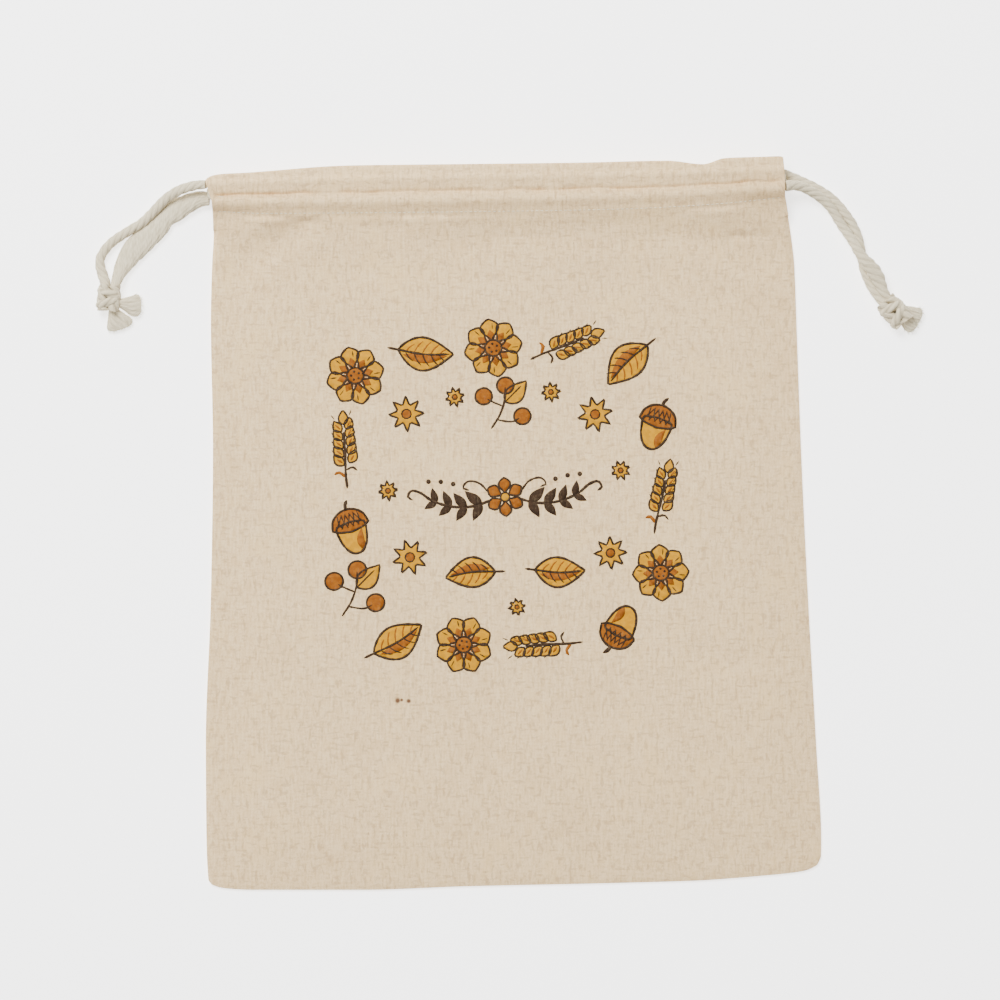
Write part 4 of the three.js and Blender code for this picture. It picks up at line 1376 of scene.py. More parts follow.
@dataclass(frozen=True)
class BagShape:
    """Where the flat bag's cloth and its cords' lanes run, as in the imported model."""

    width: float = 300.0
    wrap: float = 3.0  # from a cord's middle to that of the cloth round it
    hem_past_stitch: float = 3.5
    fold_radius: float = 0.65
    back_flat: float = 0.32
    back_cord: float = 3.75
    front_inner: float = 8.3
    front_fold: float = 12.5
    side_slope: float = 0.75  # share of the slope that is left at the sides
    front_cord: float = 11.55
    front_body: float = 1.62
    layer: float = 1.3  # between the middles of cloth layers that touch
    crown: float = 1.5
    seam_reach: float = 34.0
    tuck: float = 6.0  # how far the turned layers are drawn in from the mouths
    tuck_reach: float = 40.0
    swell_height: float = 0.34  # of each unevenness of the front
    long_height: float = 0.13
    short_height: float = 0.08
    pull_height: float = 0.24
    gather_height: float = 0.1

    left, right = Track(SIDES, 1), Track(SIDES, 2)
    bottom, top = Track(ENDS, 1), Track(ENDS, 2)
    upper, lower, stitching, dip = (Track(CASING, value) for value in (1, 2, 3, 4))
    slope = Track(SLOPE, 1)
    broad_swell = Ripple(5, 74.0, 92.0, 12.0)
    long_press = Ripple(6, 17.0, 130.0, -2.0)
    short_press = Ripple(12, 60.0, 14.0, 4.0)
    pull = Ripple(7, 13.0, 2.6, 3.0)
    gather = Ripple(8, 3.1, 26.0, 2.0)

    def across(self, u: Array, y: Array) -> Array:
        """Gives x at a share of the width and a height."""
        return mix(self.left(y), self.right(y), u)

    def share(self, x: Array, y: Array) -> Array:
        """Gives the share of the width at a place."""
        return (x - self.left(y)) / (self.right(y) - self.left(y))

    def hem(self, u: Array) -> Array:
        """Gives the height of the casing's turned edge."""
        return self.stitching(u) - self.hem_past_stitch

    def relief(self, x: Array, y: Array, below: Array) -> Array:
        """Gives the front's soft unevenness.

        Args:
            x: across.
            y: along.
            below: distance below the casing's stitching.

        Returns:
            Its height at each point.
        """
        pulls = smooth(1 - np.abs(below - 4) / 34) * (0.3 + 0.7 * smooth(1 - below / 16))
        gathers = smooth(1 - np.abs(below - 3) / 15)
        return (self.swell_height * self.broad_swell(x, y)
                + self.long_height * self.long_press(x, y)
                + self.short_height * self.short_press(x, y)
                + self.pull_height * pulls * self.pull(x, y)
                + self.gather_height * gathers * self.gather(x, y))

    def front_height(self, u: Array, y: Array) -> Array:
        """Gives the height of the middle of the front over the body.

        Args:
            u: share of the width.
            y: along.

        Returns:
            The height at each point.
        """
        x = self.across(u, y)
        from_sides = np.minimum(u, 1 - u) * self.width
        fullness = smooth(np.minimum(from_sides, y - self.bottom(u)) / self.seam_reach)
        dips = sum(crease.rise * crease.nearness(x, y) for crease in CREASES)
        lift = (self.crown + dips) * fullness
        edge = smooth(np.minimum(from_sides, y - self.bottom(u)) / 12)
        falling = self.held_up(u) * self.slope(self.hem(u) - y)
        body = self.front_body + np.maximum(0, falling + lift)
        return body + edge * self.relief(x, y, self.stitching(u) - y)

    def held_up(self, u: Array) -> Array:
        """Gives the share of the slope below the casing that a share of the width has."""
        return mix(self.side_slope, 1.0, smooth(np.minimum(u, 1 - u) * self.width / 40))

    def over_cord(self, depth: Array, height: float, angles: Sequence[float]) -> list[Section]:
        """Lays the cloth round a cord, at angles in degrees from its top towards the mouth."""
        return [(depth - self.wrap * math.sin(a), height + self.wrap * math.cos(a) + 0 * depth)
                for a in map(math.radians, angles)]

    def valley(self, u: Array, height: float, share: float = 1.0) -> Section:
        """Lays the cloth between two cords.

        Args:
            u: share of the width.
            height: of the cords' middles.
            share: of the dip that is taken.

        Returns:
            Its depth and height.
        """
        low, high = self.top(u) - self.lower(u), self.top(u) - self.upper(u)
        side = np.minimum(1, (low - high) / 2 / self.wrap)
        lifted = height + self.wrap * np.sqrt(1 - side * side) + 0.15
        return (low + high) / 2, np.maximum(height + self.wrap - share * self.dip(u), lifted)

    def fold(self, middle: Array) -> list[Section]:
        """Lays the cloth round its top fold, from the upper layer to the lower one."""
        angles = [math.pi * i / 4 for i in range(5)]
        return [(0.5 + self.fold_radius * (1 - math.sin(a)) + 0 * middle,
                 middle + self.fold_radius * math.cos(a)) for a in angles]


class PanelSide(Enum):
    """A panel of the bag."""

    FRONT = "front_panel"
    BACK = "back_panel"


def edge_steps(near: Sequence[float], spacing: float, length: float) -> Array:
    """Spaces rows closely at both ends of a length and evenly between them.

    Args:
        near: distances from an end.
        spacing: between the rest.
        length: of the whole.

    Returns:
        The distances of all rows.
    """
    count = max(2, round((length - 2 * near[-1]) / spacing))
    middle = np.linspace(near[-1], length - near[-1], count + 1)
    return np.concatenate([near[:-1], middle, length - np.array(near[:-1])[::-1]])


@dataclass
class ClothPanel:
    """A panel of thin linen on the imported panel's folds, with rounded edges."""

    side: PanelSide
    shape: BagShape
    half: float = 0.3  # half thickness of the linen
    column: float = 1.5  # between its columns
    seam: float = 0.95  # height at which the panels are joined
    least_edge: float = 0.0004  # least square of the thickness at a cut edge, as a share
    hem_half: float = 0.06  # half thickness at the turned edge
    pinch: float = 0.34  # of the front's stitching into the cloth
    line_wide: float = 1.1  # half width of that pinch and of the crease between the cords
    crease: float = 1.85  # depth of the crease between the cords
    deeper: float = 0.75  # added to it towards the left side
    gap: float = -89.5  # where the crease nearly runs out
    gap_reach: float = 6.0

    NEAR = (0.0, 0.04, 0.14, 0.3, 0.6, 1.0, 1.6, 2.4)

    def build(self, shop: Workshop) -> Piece:
        """Builds and dresses the panel.

        Args:
            shop: the trees and materials.

        Returns:
            The piece.
        """
        u = edge_steps(self.NEAR, self.column, self.shape.width) / self.shape.width
        if self.side is PanelSide.FRONT:
            self.lay_front(u)
        else:
            self.lay_back(u)
        self.round_edges(u)
        name = self.side.value.replace("panel", "cloth")
        self.piece = thick_sheet(name, self.middle, self.halves, self.flat_places())
        self.piece.data.materials.append(shop.linen)
        return settle(self.piece, "linen", self.side.value)

    def tucked(self, u: Array, tuck: float) -> Array:
        """Draws the turned layers in from the casing's mouths.

        Args:
            u: share of the width.
            tuck: share of the whole tuck that a layer takes.

        Returns:
            The share at which the layer stands.
        """
        s = self.shape
        drawn = 1 - smooth(np.minimum(u, 1 - u) * s.width / s.tuck_reach)
        return u + np.sign(0.5 - u) * drawn * tuck * s.tuck / s.width

    def lay(self, u: Array, body: list[Array],
            casing: Callable[[Array], list[Section]], tucks: Mapping[int, float],
            spacings: Callable[[int], float]) -> None:
        """Lays the panel's middle: the body's rows, then a smooth line through the casing's.

        Args:
            u: shares of the width.
            body: x, y and z of each row of the body.
            casing: gives the casing's depths and heights.
            tucks: share of the tuck that each of its rows takes.
            spacings: between the points after each of its rows.
        """
        s = self.shape
        controls = []
        for row in range(len(casing(u))):
            share = self.tucked(u, tucks.get(row, 0.0))
            depth, z = casing(share)[row]
            y = s.top(share) - depth
            controls.append(np.stack([s.across(share, y), y, z + 0 * y], axis=1))
        points = np.array(controls)
        gone = np.linalg.norm(np.diff(points, axis=0), axis=2).mean(axis=1)
        knots = np.concatenate([[0.0], np.cumsum(gone)])
        at, self.rows_of = [], []
        for row, length in enumerate(gone):
            self.rows_of.append(len(body) + len(at))
            steps = max(1, round(length / spacings(row)))
            at += list(knots[row] + length * np.arange(steps) / steps)
        at.append(knots[-1])
        self.body_rows = len(body)
        self.middle = np.concatenate([np.array(body), spline(points, knots, np.array(at))])

    def lay_front(self, u: Array) -> None:
        """Lays the front: up the body, over both cords, round the fold and back under.

        Args:
            u: shares of the width.
        """
        s = self.shape

        def casing(v: Array) -> list[Section]:
            """Gives the casing's rows.

            Args:
                v: shares of the width.

            Returns:
                Their depths and heights.
            """
            top = s.top(v)
            low, high, stitch = top - s.lower(v), top - s.upper(v), top - s.stitching(v)
            hem = stitch + s.hem_past_stitch
            foot = s.front_body + s.held_up(v) * s.slope(np.zeros(1))[0]
            stitched = foot + 2.2
            rows = [(hem + below, s.front_height(v, top - hem - below)) for below in (8, 3, 0)]
            rows += [(stitch + 1.6, foot + 1.3), (stitch, stitched),
                     (mix(low + s.wrap, stitch, 0.4), mix(stitched, s.front_cord + 1.3, 0.62))]
            rows += s.over_cord(low, s.front_cord, (-32, -22, -11, 0, 31))
            rows += [s.valley(v, s.front_cord)]
            rows += s.over_cord(high, s.front_cord, (-31, 0, 16, 30, 44))
            rows += s.fold(s.front_fold - 0.1 * (high - s.wrap))
            return rows + [
                (high - 1, s.front_inner + 0 * v), ((high + low) / 2, s.front_inner + 0 * v),
                (low, s.front_inner + 0 * v), (mix(low, stitch, 0.6), s.front_inner + 0 * v),
                (stitch, stitched - s.layer), (hem, foot - s.layer)]

        start = s.bottom(u)
        end = s.hem(u) - 8
        length = float(np.mean(end - start))
        fine = length - 74
        low = np.concatenate([self.NEAR, np.arange(5.0, fine, 4.0)])
        steps = np.concatenate([low, np.arange(fine, length - 0.6, 1.35)]) / length
        body = []
        for share in steps:
            y = mix(start, end, share)
            body.append(np.stack([s.across(u, y), y, s.front_height(u, y)], axis=1))
        tucks = {22: 0.7, 23: 1.0, 24: 1.0, 25: 1.0, 26: 0.5, 27: 0.2}
        self.stitch_control, self.fold_control = 4, 17
        self.lay(u, body, casing, tucks, lambda row: 0.7 if row < 21 else 2.2)
        self.crumple(u)

    def crumple(self, u: Array) -> None:
        """Raises the small gathers of the casing and draws its stitching in.

        Args:
            u: shares of the width.
        """
        s = self.shape
        rows = slice(self.body_rows, self.rows_of[self.fold_control])
        x, y = self.middle[rows, :, 0], self.middle[rows, :, 1]
        below = np.abs(s.stitching(u) - y)
        depth = s.top(u) - y
        fade = smooth((depth - 1.5) / 4) * smooth(np.minimum(u, 1 - u) * s.width / 6)
        wave = 0.08 * s.gather(x * 1.0, y * 1.6) + 0.07 * s.gather(x * 0.45 + 40, y)
        seen = 0.3 + 0.7 * smooth((u - 0.16) / 0.06) * smooth((0.47 - u) / 0.08)
        pinch = (self.pinch * seen * np.exp(-((below / self.line_wide) ** 2))
                 * (0.7 + 0.3 * s.gather(x * 1.7, 0 * y)))
        between = y - (s.upper(u) + s.lower(u)) / 2 + 1.2 + 0.5 * s.gather(x * 0.3 + 9, 0 * y)
        deep = self.crease + self.deeper * smooth(1 - u / 0.2)
        deep = deep * (1 - 0.75 * np.exp(-(((x - self.gap) / self.gap_reach) ** 2)))
        crease = (deep * np.exp(-((between / self.line_wide) ** 2))
                  * (0.8 + 0.35 * s.gather(x * 0.5, 0 * y)))
        self.middle[rows, :, 2] += fade * (wave - crease) - smooth(depth / 9) * pinch

    def lay_back(self, u: Array) -> None:
        """Lays the back: flat on the table, round the fold and back over both cords.

        Args:
            u: shares of the width.
        """
        s = self.shape

        def casing(v: Array) -> list[Section]:
            """Gives the casing's rows.

            Args:
                v: shares of the width.

            Returns:
                Their depths and heights.
            """
            top = s.top(v)
            low, high, stitch = top - s.lower(v), top - s.upper(v), top - s.stitching(v)
            flat, hemmed = s.back_flat + 0 * v, s.back_flat + s.layer + 0 * v
            rows = [(stitch + 2, flat), (stitch, flat), (low, flat), (high, flat)]
            rows += s.fold(s.back_flat + s.fold_radius + 0 * v)[::-1]
            rows += s.over_cord(high, s.back_cord, (92, 62, 31, 0))
            rows += [s.valley(v, s.back_cord, 0.1)]
            rows += s.over_cord(low, s.back_cord, (0, -31, -62, -92))
            return rows + [(mix(low + s.wrap, stitch, 0.6), hemmed + 0.5),
                           (stitch, hemmed), (stitch + s.hem_past_stitch, hemmed)]

        start, end = s.bottom(u), s.stitching(u) - 2
        length = float(np.mean(end - start))
        steps = np.concatenate([self.NEAR, np.arange(6.0, length - 3, 6.0)]) / length
        body = [np.stack([s.across(u, y), y, s.back_flat + 0 * u], axis=1)
                for y in (mix(start, end, share) for share in steps)]
        tucks = {row: 1.0 for row in range(9, 18)} | {18: 0.7, 19: 0.5, 20: 0.2}
        self.stitch_control = 1
        self.lay(u, body, casing, tucks, lambda row: 1.0 if 3 <= row < 17 else 2.4)

    def round_edges(self, u: Array) -> None:
        """Rounds the cut edges and draws the panels together along the seams.

        Args:
            u: shares of the width.
        """
        s = self.shape
        side = np.minimum(u, 1 - u) * s.width
        y, z = self.middle[:, :, 1], self.middle[:, :, 2]
        bottom = y - s.bottom(u)
        bottom[self.body_rows:] = s.width
        edge = np.minimum(side, bottom)
        round_share = np.clip(edge / self.half, 0, 1)
        self.halves = self.half * np.sqrt(np.clip(1 - (1 - round_share) ** 2, self.least_edge, 1))
        self.halves[-1] = self.hem_half
        sewn = np.zeros_like(z)
        rows = slice(0, self.body_rows + 4)
        sewn[rows] = smooth((s.hem(u) - 1 - y[rows]) / 6) * smooth(1 - edge[rows] / 2.6)
        meeting = self.seam + (self.half if self.side is PanelSide.FRONT else -self.half)
        z += sewn * (meeting - z)

    def flat_places(self) -> Array:
        """Gives each point's place on the flat cloth, which follows the cloth round its folds.

        Returns:
            Two numbers for each point.
        """
        places = self.middle[:, :, :2].copy()
        first = self.body_rows - 1
        steps = np.linalg.norm(np.diff(self.middle[first:, :, 1:], axis=0), axis=2)
        places[first + 1:, :, 1] = places[first, :, 1] + np.cumsum(steps, axis=0)
        return places

    def line(self, row: int, inset: int) -> tuple[Array, Array]:
        """Follows a row of the panel's outer face.

        Args:
            row: of the mesh.
            inset: columns that are left out at each end.

        Returns:
            The points and the normals along it.
        """
        normals = grid_normals(self.middle)
        outer = self.middle + normals * self.halves[:, :, None]
        return outer[row, inset:-inset], normals[row, inset:-inset]

    def declare(self, rests_on: Sequence[str], with_pieces: Sequence[Piece]) -> None:
        """Does nothing."""


def grid_normals(middle: Array) -> Array:
    """Gives the normals of a grid of points, rows first.

    Args:
        middle: the points.

    Returns:
        A unit normal for each.
    """
    along, across = np.gradient(middle, axis=0), np.gradient(middle, axis=1)
    normals = np.cross(across, along)
    return normals / np.maximum(np.linalg.norm(normals, axis=2), 1e-9)[:, :, None]


def thick_sheet(name: str, middle: Array, halves: Array, flat: Array) -> Piece:
    """Makes a closed thin sheet on both sides of a grid of points.

    Args:
        name: of the piece.
        middle: the grid, rows first.
        halves: half thickness at each point.
        flat: each point's place on the flat cloth.

    Returns:
        The piece.
    """
    rows, columns = middle.shape[:2]
    out = grid_normals(middle) * halves[:, :, None]
    points = np.concatenate([(middle + out).reshape(-1, 3), (middle - out).reshape(-1, 3)])
    points[:, 2] = np.maximum(points[:, 2], 0)
    index = np.arange(rows * columns).reshape(rows, columns)
    top = np.stack([index[:-1, :-1], index[:-1, 1:], index[1:, 1:], index[1:, :-1]], axis=-1)
    top = top.reshape(-1, 4)
    under = top[:, ::-1] + rows * columns
    rim = np.concatenate([index[0, :], index[1:, -1], index[-1, -2::-1], index[-2:0:-1, 0]])
    after = np.roll(rim, -1)
    walls = np.stack([rim, rim + rows * columns, after + rows * columns, after], axis=-1)
    faces = np.concatenate([top, under, walls])
    mesh = make_mesh(name, points, faces.tolist())
    places = flat.reshape(-1, 2)
    set_uv(mesh, np.concatenate([places, places]))
    return link(name, mesh)


@dataclass
class CasingStitching:
    """The row of stitches that closes a panel's casing."""

    panel: ClothPanel
    over_cloth: float = 0.02  # from the cloth's face to the row's line

    def build(self, shop: Workshop) -> Piece:
        """Builds the row on the panel's outer face.

        Args:
            shop: the trees and materials.

        Returns:
            The stitches.
        """
        row = self.panel.rows_of[self.panel.stitch_control]
        points, normals = self.panel.line(row, len(ClothPanel.NEAR))
        name = self.panel.side.value.replace("panel", "stitching")
        carrier = line_mesh(name, [points + normals * self.over_cloth])
        set_values(carrier, "normal", normals)
        return settle(shop.stitch_row.grow(name, carrier, shop.fibre), "linen")


@dataclass
class CasedCord:
    """The stretch of a cord that lies in the casings and turns back at the far side."""

    side: Side
    shape: BagShape
    inset: float = 1.0  # of its start from the near side
    turn_inset: float = 6.8  # of its turn from the far side
    half: float = 2.3  # half thickness

    def build(self, shop: Workshop) -> Piece:
        """Builds the cord in the casings.

        Args:
            shop: the trees and materials.

        Returns:
            The piece.
        """
        name = f"{self.side.value}_rope_cased"
        route = Route.carried(self.places(), self.half, self.half)
        carrier = Route.carrier(name, [route])
        cord = shop.laid_cord.grow(name, carrier, shop.cotton, Step=1.1 * MM, Sides=30)
        return settle(cord, "cotton_cord", f"{self.side.value}_cord_run")

    def places(self) -> Array:
        """Lists the cord's places: in by one lane, round at the far side and back.

        Returns:
            The places.
        """
        s = self.shape
        left = self.side is Side.LEFT
        near, far, inwards = (0, 1, 1) if left else (1, 0, -1)
        front, back = (s.upper, s.lower) if left else (s.lower, s.upper)
        shares = np.linspace(near + inwards * self.inset / s.width,
                             far - inwards * self.turn_inset / s.width, 240)

        def lane(height: Track, z: float) -> Array:
            """Gives a lane's places."""
            y = height(shares)
            return np.stack([s.across(shares, y), y, z + 0 * y], axis=1)

        out, home = lane(front, s.front_cord), lane(back, s.back_cord)
        middle, arm = (out[-1] + home[-1]) / 2, (out[-1] - home[-1]) / 2
        angles = np.linspace(0, math.pi, 14)[1:-1, None]
        turn = middle + arm * np.cos(angles)
        turn[:, 0:1] += inwards * np.linalg.norm(arm) * np.sin(angles)
        return np.concatenate([out, turn, home[::-1]])


@dataclass(frozen=True)
class Mark:
    """One inked shape: a filled outline, or a drawn line where it has a width."""

    ink: Ink
    points: Array
    width: float = 0.0

    def placed(self, at: tuple[float, float], turn: float, size: float = 1.0) -> "Mark":
        """Turns, scales and moves the mark.

        Args:
            at: where its origin goes.
            turn: in degrees, counter-clockwise.
            size: its scale; a line keeps its width.

        Returns:
            The moved mark.
        """
        c, s = math.cos(math.radians(turn)), math.sin(math.radians(turn))
        moved = self.points * size @ np.array([[c, s], [-s, c]]) + np.array(at)
        return Mark(self.ink, moved, self.width)


def oval(wide: float, high: float, at: tuple[float, float] = (0.0, 0.0), count: int = 28) -> Array:
    """Draws a closed oval of a width and a height about a place."""
    angle = np.linspace(0, TURN, count, endpoint=False)
    return np.stack([np.cos(angle) * wide / 2, np.sin(angle) * high / 2], axis=1) + np.array(at)


def blade(length: float, wide: float, bend: float = 0.0, root: float = 0.75,
          count: int = 14) -> Array:
    """Draws the closed outline of a leaf, petal or grain that grows up from the origin.

    Args:
        length: of the blade.
        wide: its greatest width.
        bend: how far its middle bows aside.
        root: below 1, the widest part is near the origin, and above 1, near the tip.
        count: of points on each side.

    Returns:
        The outline.
    """
    share = np.linspace(0, 1, count)
    half = np.sin(math.pi * share**root) * wide / 2
    middle = bend * 4 * share * (1 - share)
    sides = [np.stack([middle + way * half, share * length], axis=1) for way in (-1, 1)]
    return np.concatenate([sides[0], sides[1][-2:0:-1]])


def inked(ink: Ink, outline: Array, line: float = 1.1, pen: Ink = Ink.DARK) -> list[Mark]:
    """Fills a closed outline with ink and draws a line of a pen's ink round it."""
    return [Mark(ink, outline), Mark(pen, np.concatenate([outline, outline[:2]]), line)]


def stroke(points: Rows, width: float, ink: Ink = Ink.DARK) -> Mark:
    """Draws a smooth line through a few points.

    Args:
        points: x and y of each.
        width: of the line.
        ink: of the line.

    Returns:
        The mark.
    """
    table = np.array(points, float)
    if len(table) > 2:
        knots = np.arange(len(table), dtype=float)
        table = spline(table, knots, np.linspace(0, knots[-1], 6 * len(table)))
    return Mark(ink, table, width)


class Motif(Enum):
    """A motif of the print, drawn about its own middle."""

    DAISY = "daisy"
    WHEAT = "wheat"
    ACORN = "acorn"
    LEAF = "leaf"
    STAR = "star"
    BERRIES = "berries"

    def marks(self) -> list[Mark]:
        """Draws the motif, in millimetres."""
        return {Motif.DAISY: daisy, Motif.WHEAT: wheat_ear, Motif.ACORN: acorn,
                Motif.LEAF: leaf, Motif.STAR: star, Motif.BERRIES: berries}[self]()


def daisy() -> list[Mark]:
    """Draws a daisy of eight petals.

    Returns:
        Its marks.
    """
    marks = []
    petal = blade(9.6, 8.0, root=1.4) + np.array([0, 3.0])
    shaded = blade(5.0, 3.6, root=0.7) + np.array([0, 3.0])
    for i in range(8):
        marks += [m.placed((0, 0), 45 * i) for m in inked(Ink.OCHRE, petal, 0.95)]
        marks.append(Mark(Ink.BROWN, shaded).placed((0, 0), 45 * i))
        marks.append(stroke([(1.2, 8.0), (1.5, 10.6)], 0.6).placed((0, 0), 45 * i))
    marks += inked(Ink.BROWN, oval(7.4, 7.0), 1.0)
    for i in range(5):
        marks.append(Mark(Ink.DARK, oval(1.1, 1.1, (1.8, 0.0), 8)).placed((0, 0), 72 * i + 20))
    return marks


def wheat_ear() -> list[Mark]:
    """Draws a bent ear of wheat on its stem.

    Returns:
        Its marks.
    """
    marks = [stroke([(-1.5, -17), (-1.2, -10), (-0.2, -2), (0.6, 6), (0.9, 11)], 1.2)]
    for i in range(5):
        up = -5.5 + 4.2 * i
        lean = (up + 6) * 0.07
        for way in (-1, 1):
            grain = blade(7.6 - 0.3 * i, 4.7, 0.4 * way, 0.85)
            place = (lean + way * 1.2, up + (0.9 if way > 0 else 0))
            turn = -way * (36 - 2 * i)
            marks += [m.placed(place, turn) for m in inked(Ink.OCHRE, grain, 0.85)]
            marks.append(stroke([(0.2, 1.4), (0.5 * way, 4.6)], 1.1, Ink.BROWN).placed(place, turn))
            marks.append(stroke([(0, 7.2), (0.3 * way, 9.8)], 0.6).placed(place, turn + 6 * way))
    marks += [m.placed((1.5, 14.6), -6) for m in inked(Ink.OCHRE, blade(7.4, 4.8), 0.85)]
    frond = [(-1.2, -11.5), (-4.4, -8.6), (-6.8, -9.4)]
    return marks + [stroke(frond, 1.5, Ink.BROWN), stroke([(-0.9, -8), (2.6, -7), (4.8, -9)], 1.0)]


def acorn() -> list[Mark]:
    """Draws an acorn with a hatched cup.

    Returns:
        Its marks.
    """
    share = np.linspace(-1, 1, 17)
    nut = np.stack([6.6 * share, -11 * (1 - np.abs(share) ** 2.3) ** 0.62 - 0.6], axis=1)
    nut = np.concatenate([nut, [(6.2, 1.6), (0, 2.6), (-6.2, 1.6)]])
    cup = np.stack([8.2 * share, 7.6 * np.sqrt(np.clip(1 - share**2, 0, 1)) + 0.6], axis=1)
    cup = np.concatenate([cup[::-1], [(-5.6, -0.9), (0, -1.9), (5.6, -0.9)]])
    shade = blade(9.5, 3.4, -0.9)
    marks = inked(Ink.OCHRE, nut, 1.15) + inked(Ink.BROWN, cup, 1.15)
    marks.append(Mark(Ink.BROWN, shade).placed((2.6, -10.6), -12))
    for i in range(-2, 3):
        marks.append(stroke([(2.5 * i - 1.6, 0.2), (2.3 * i, 3.0), (1.7 * i + 1.0, 6.4)], 0.65))
        marks.append(stroke([(2.5 * i + 1.6, 0.2), (2.3 * i, 3.0), (1.7 * i - 1.0, 6.4)], 0.65))
    return marks + [stroke([(0, 7.8), (0.3, 10.0), (1.7, 12.0)], 1.9)]


def leaf() -> list[Mark]:
    """Draws a veined leaf, shaded on one side.

    Returns:
        Its marks.
    """
    marks = [m.placed((0, -12), 0) for m in inked(Ink.OCHRE, blade(26, 15.5, 1.2, 0.85, 20), 1.15)]
    marks.append(Mark(Ink.BROWN, blade(21, 4.6, 1.6, 0.9)).placed((2.1, -9.6), 3))
    marks.append(stroke([(-0.4, -17), (0.1, -12), (1.1, -3), (1.1, 4), (0.2, 12)], 1.1))
    for i in range(5):
        up = -8.4 + 3.9 * i
        reach = (4.0, 5.6, 5.7, 4.8, 3.2)[i]
        for way in (-1, 1):
            vein = [(0.9, up), (0.9 + way * reach * 0.6, up + 1.7), (0.9 + way * reach, up + 3.8)]
            marks.append(stroke(vein, 0.7, Ink.BROWN if way < 0 else Ink.DARK))
    return marks


def star() -> list[Mark]:
    """Draws a soft star of eight points.

    Returns:
        Its marks.
    """
    angle = np.arange(16) * TURN / 16
    radius = np.where(np.arange(16) % 2 == 0, 6.4, 3.2)
    rays = np.stack([np.sin(angle) * radius, np.cos(angle) * radius], axis=1)
    return inked(Ink.OCHRE, rays, 0.95) + inked(Ink.BROWN, oval(3.4, 3.4, count=12), 0.7)


def berries() -> list[Mark]:
    """Draws three berries and a leaf on a twig.

    Returns:
        Its marks.
    """
    marks = [stroke([(-6, -5), (-2, -1), (1, 4), (2, 8)], 1.1),
             stroke([(-3.4, -2.4), (1.4, -4.2), (4.4, -3.6)], 0.9),
             stroke([(0, 1.6), (-3.4, 4), (-5, 5.4)], 0.9)]
    for place in ((2.2, 8.6), (5.6, -3.2), (-6, 6.6)):
        marks += inked(Ink.BROWN, oval(6.0, 5.8, place, 18), 0.95)
        marks.append(Mark(Ink.OCHRE, oval(2.0, 1.7, (place[0] - 0.9, place[1] + 1.0), 8)))
    grown = inked(Ink.OCHRE, blade(10.5, 6.2, 0.5), 0.95) + [stroke([(0, 0), (0, 8)], 0.7)]
    return marks + [m.placed((0.8, 3.0), -58) for m in grown]


def garland() -> list[Mark]:
    """Draws the dark garland in the middle: two leafy sprigs that meet at a blossom.

    Returns:
        Its marks.
    """
    half: list[Mark] = [stroke([(6.5, -1.0), (15, -3.6), (25, -3.6), (35, -0.4), (41, 4.0),
                                (45.5, 5.4), (47.4, 2.6), (45.2, 0.8)], 1.3)]
    stems = ((11.5, -2.8, -12), (19, -4.0, -2), (26.5, -3.3, 14), (33.5, -1.1, 24))
    for i, (x, y, way) in enumerate(stems):
        size = 1.0 - 0.09 * i
        half += [Mark(Ink.DARK, blade(10.6, 5.0, 0.4)).placed((x, y), way - 38, size),
                 Mark(Ink.DARK, blade(9.4, 4.6, -0.4)).placed((x, y), way - 138, size)]
    half += [stroke([(8, 2.6), (12, 7.2), (17.5, 8.6), (20.4, 5.6), (17.4, 4.2)], 1.0)]
    half += [Mark(Ink.DARK, oval(2.4, 2.4, place, 10))
             for place in ((25, 7.6), (31, 9.0), (37, 9.4))]
    mirrored = [Mark(mark.ink, mark.points * (-1, 1), mark.width) for mark in half]
    bloom = [m.placed((0, 0), 60 * i) for i in range(6)
             for m in inked(Ink.BROWN, blade(7.8, 6.0, root=1.3) + np.array([0, 1.8]), 0.95)]
    return half + mirrored + bloom + inked(Ink.OCHRE, oval(4.6, 4.6, count=16), 0.9)


# Motif, the place of its middle, its turn and its size
WREATH = (
    (Motif.DAISY, -2, 73, 8, 1.14), (Motif.WHEAT, 32, 72, -66, 1.0),
    (Motif.LEAF, 64, 62, 132, 1.05), (Motif.ACORN, 76, 32, -20, 1.12),
    (Motif.WHEAT, 76, -6, -10, 0.96), (Motif.DAISY, 74, -41, 0, 1.1),
    (Motif.ACORN, 52, -68, 150, 1.1), (Motif.WHEAT, 17, -73, 96, 1.0),
    (Motif.DAISY, -24, -71, 20, 1.12), (Motif.LEAF, -57, -67, -62, 1.05),
    (Motif.BERRIES, -75, -45, 10, 1.5), (Motif.ACORN, -76, -11, 14, 1.12),
    (Motif.WHEAT, -77, 25, 6, 0.98), (Motif.DAISY, -70, 63, 12, 1.14),
    (Motif.LEAF, -36, 73, -98, 1.05), (Motif.STAR, -46, 43, 0, 1.4),
    (Motif.BERRIES, 2, 42, 10, 1.4), (Motif.STAR, 46, 38, 10, 1.4),
    (Motif.LEAF, 24, -37, -94, 0.95), (Motif.LEAF, -18, -37, 94, 0.95),
    (Motif.STAR, 50, -30, 0, 1.3), (Motif.STAR, -48, -27, 14, 1.4), (Motif.STAR, 3, -54, 8, 0.7),
    (Motif.STAR, -22, 50, 12, 0.8), (Motif.STAR, 25, 50, 4, 0.8), (Motif.STAR, 57, 10, 20, 0.8),
    (Motif.STAR, -57, 6, 5, 0.8),
)


def winding(outline: Array) -> float:
    """Gives an outline's area, positive where it runs counter-clockwise."""
    x, y = outline.T
    return float(np.dot(x, np.roll(y, -1)) - np.dot(y, np.roll(x, -1))) / 2


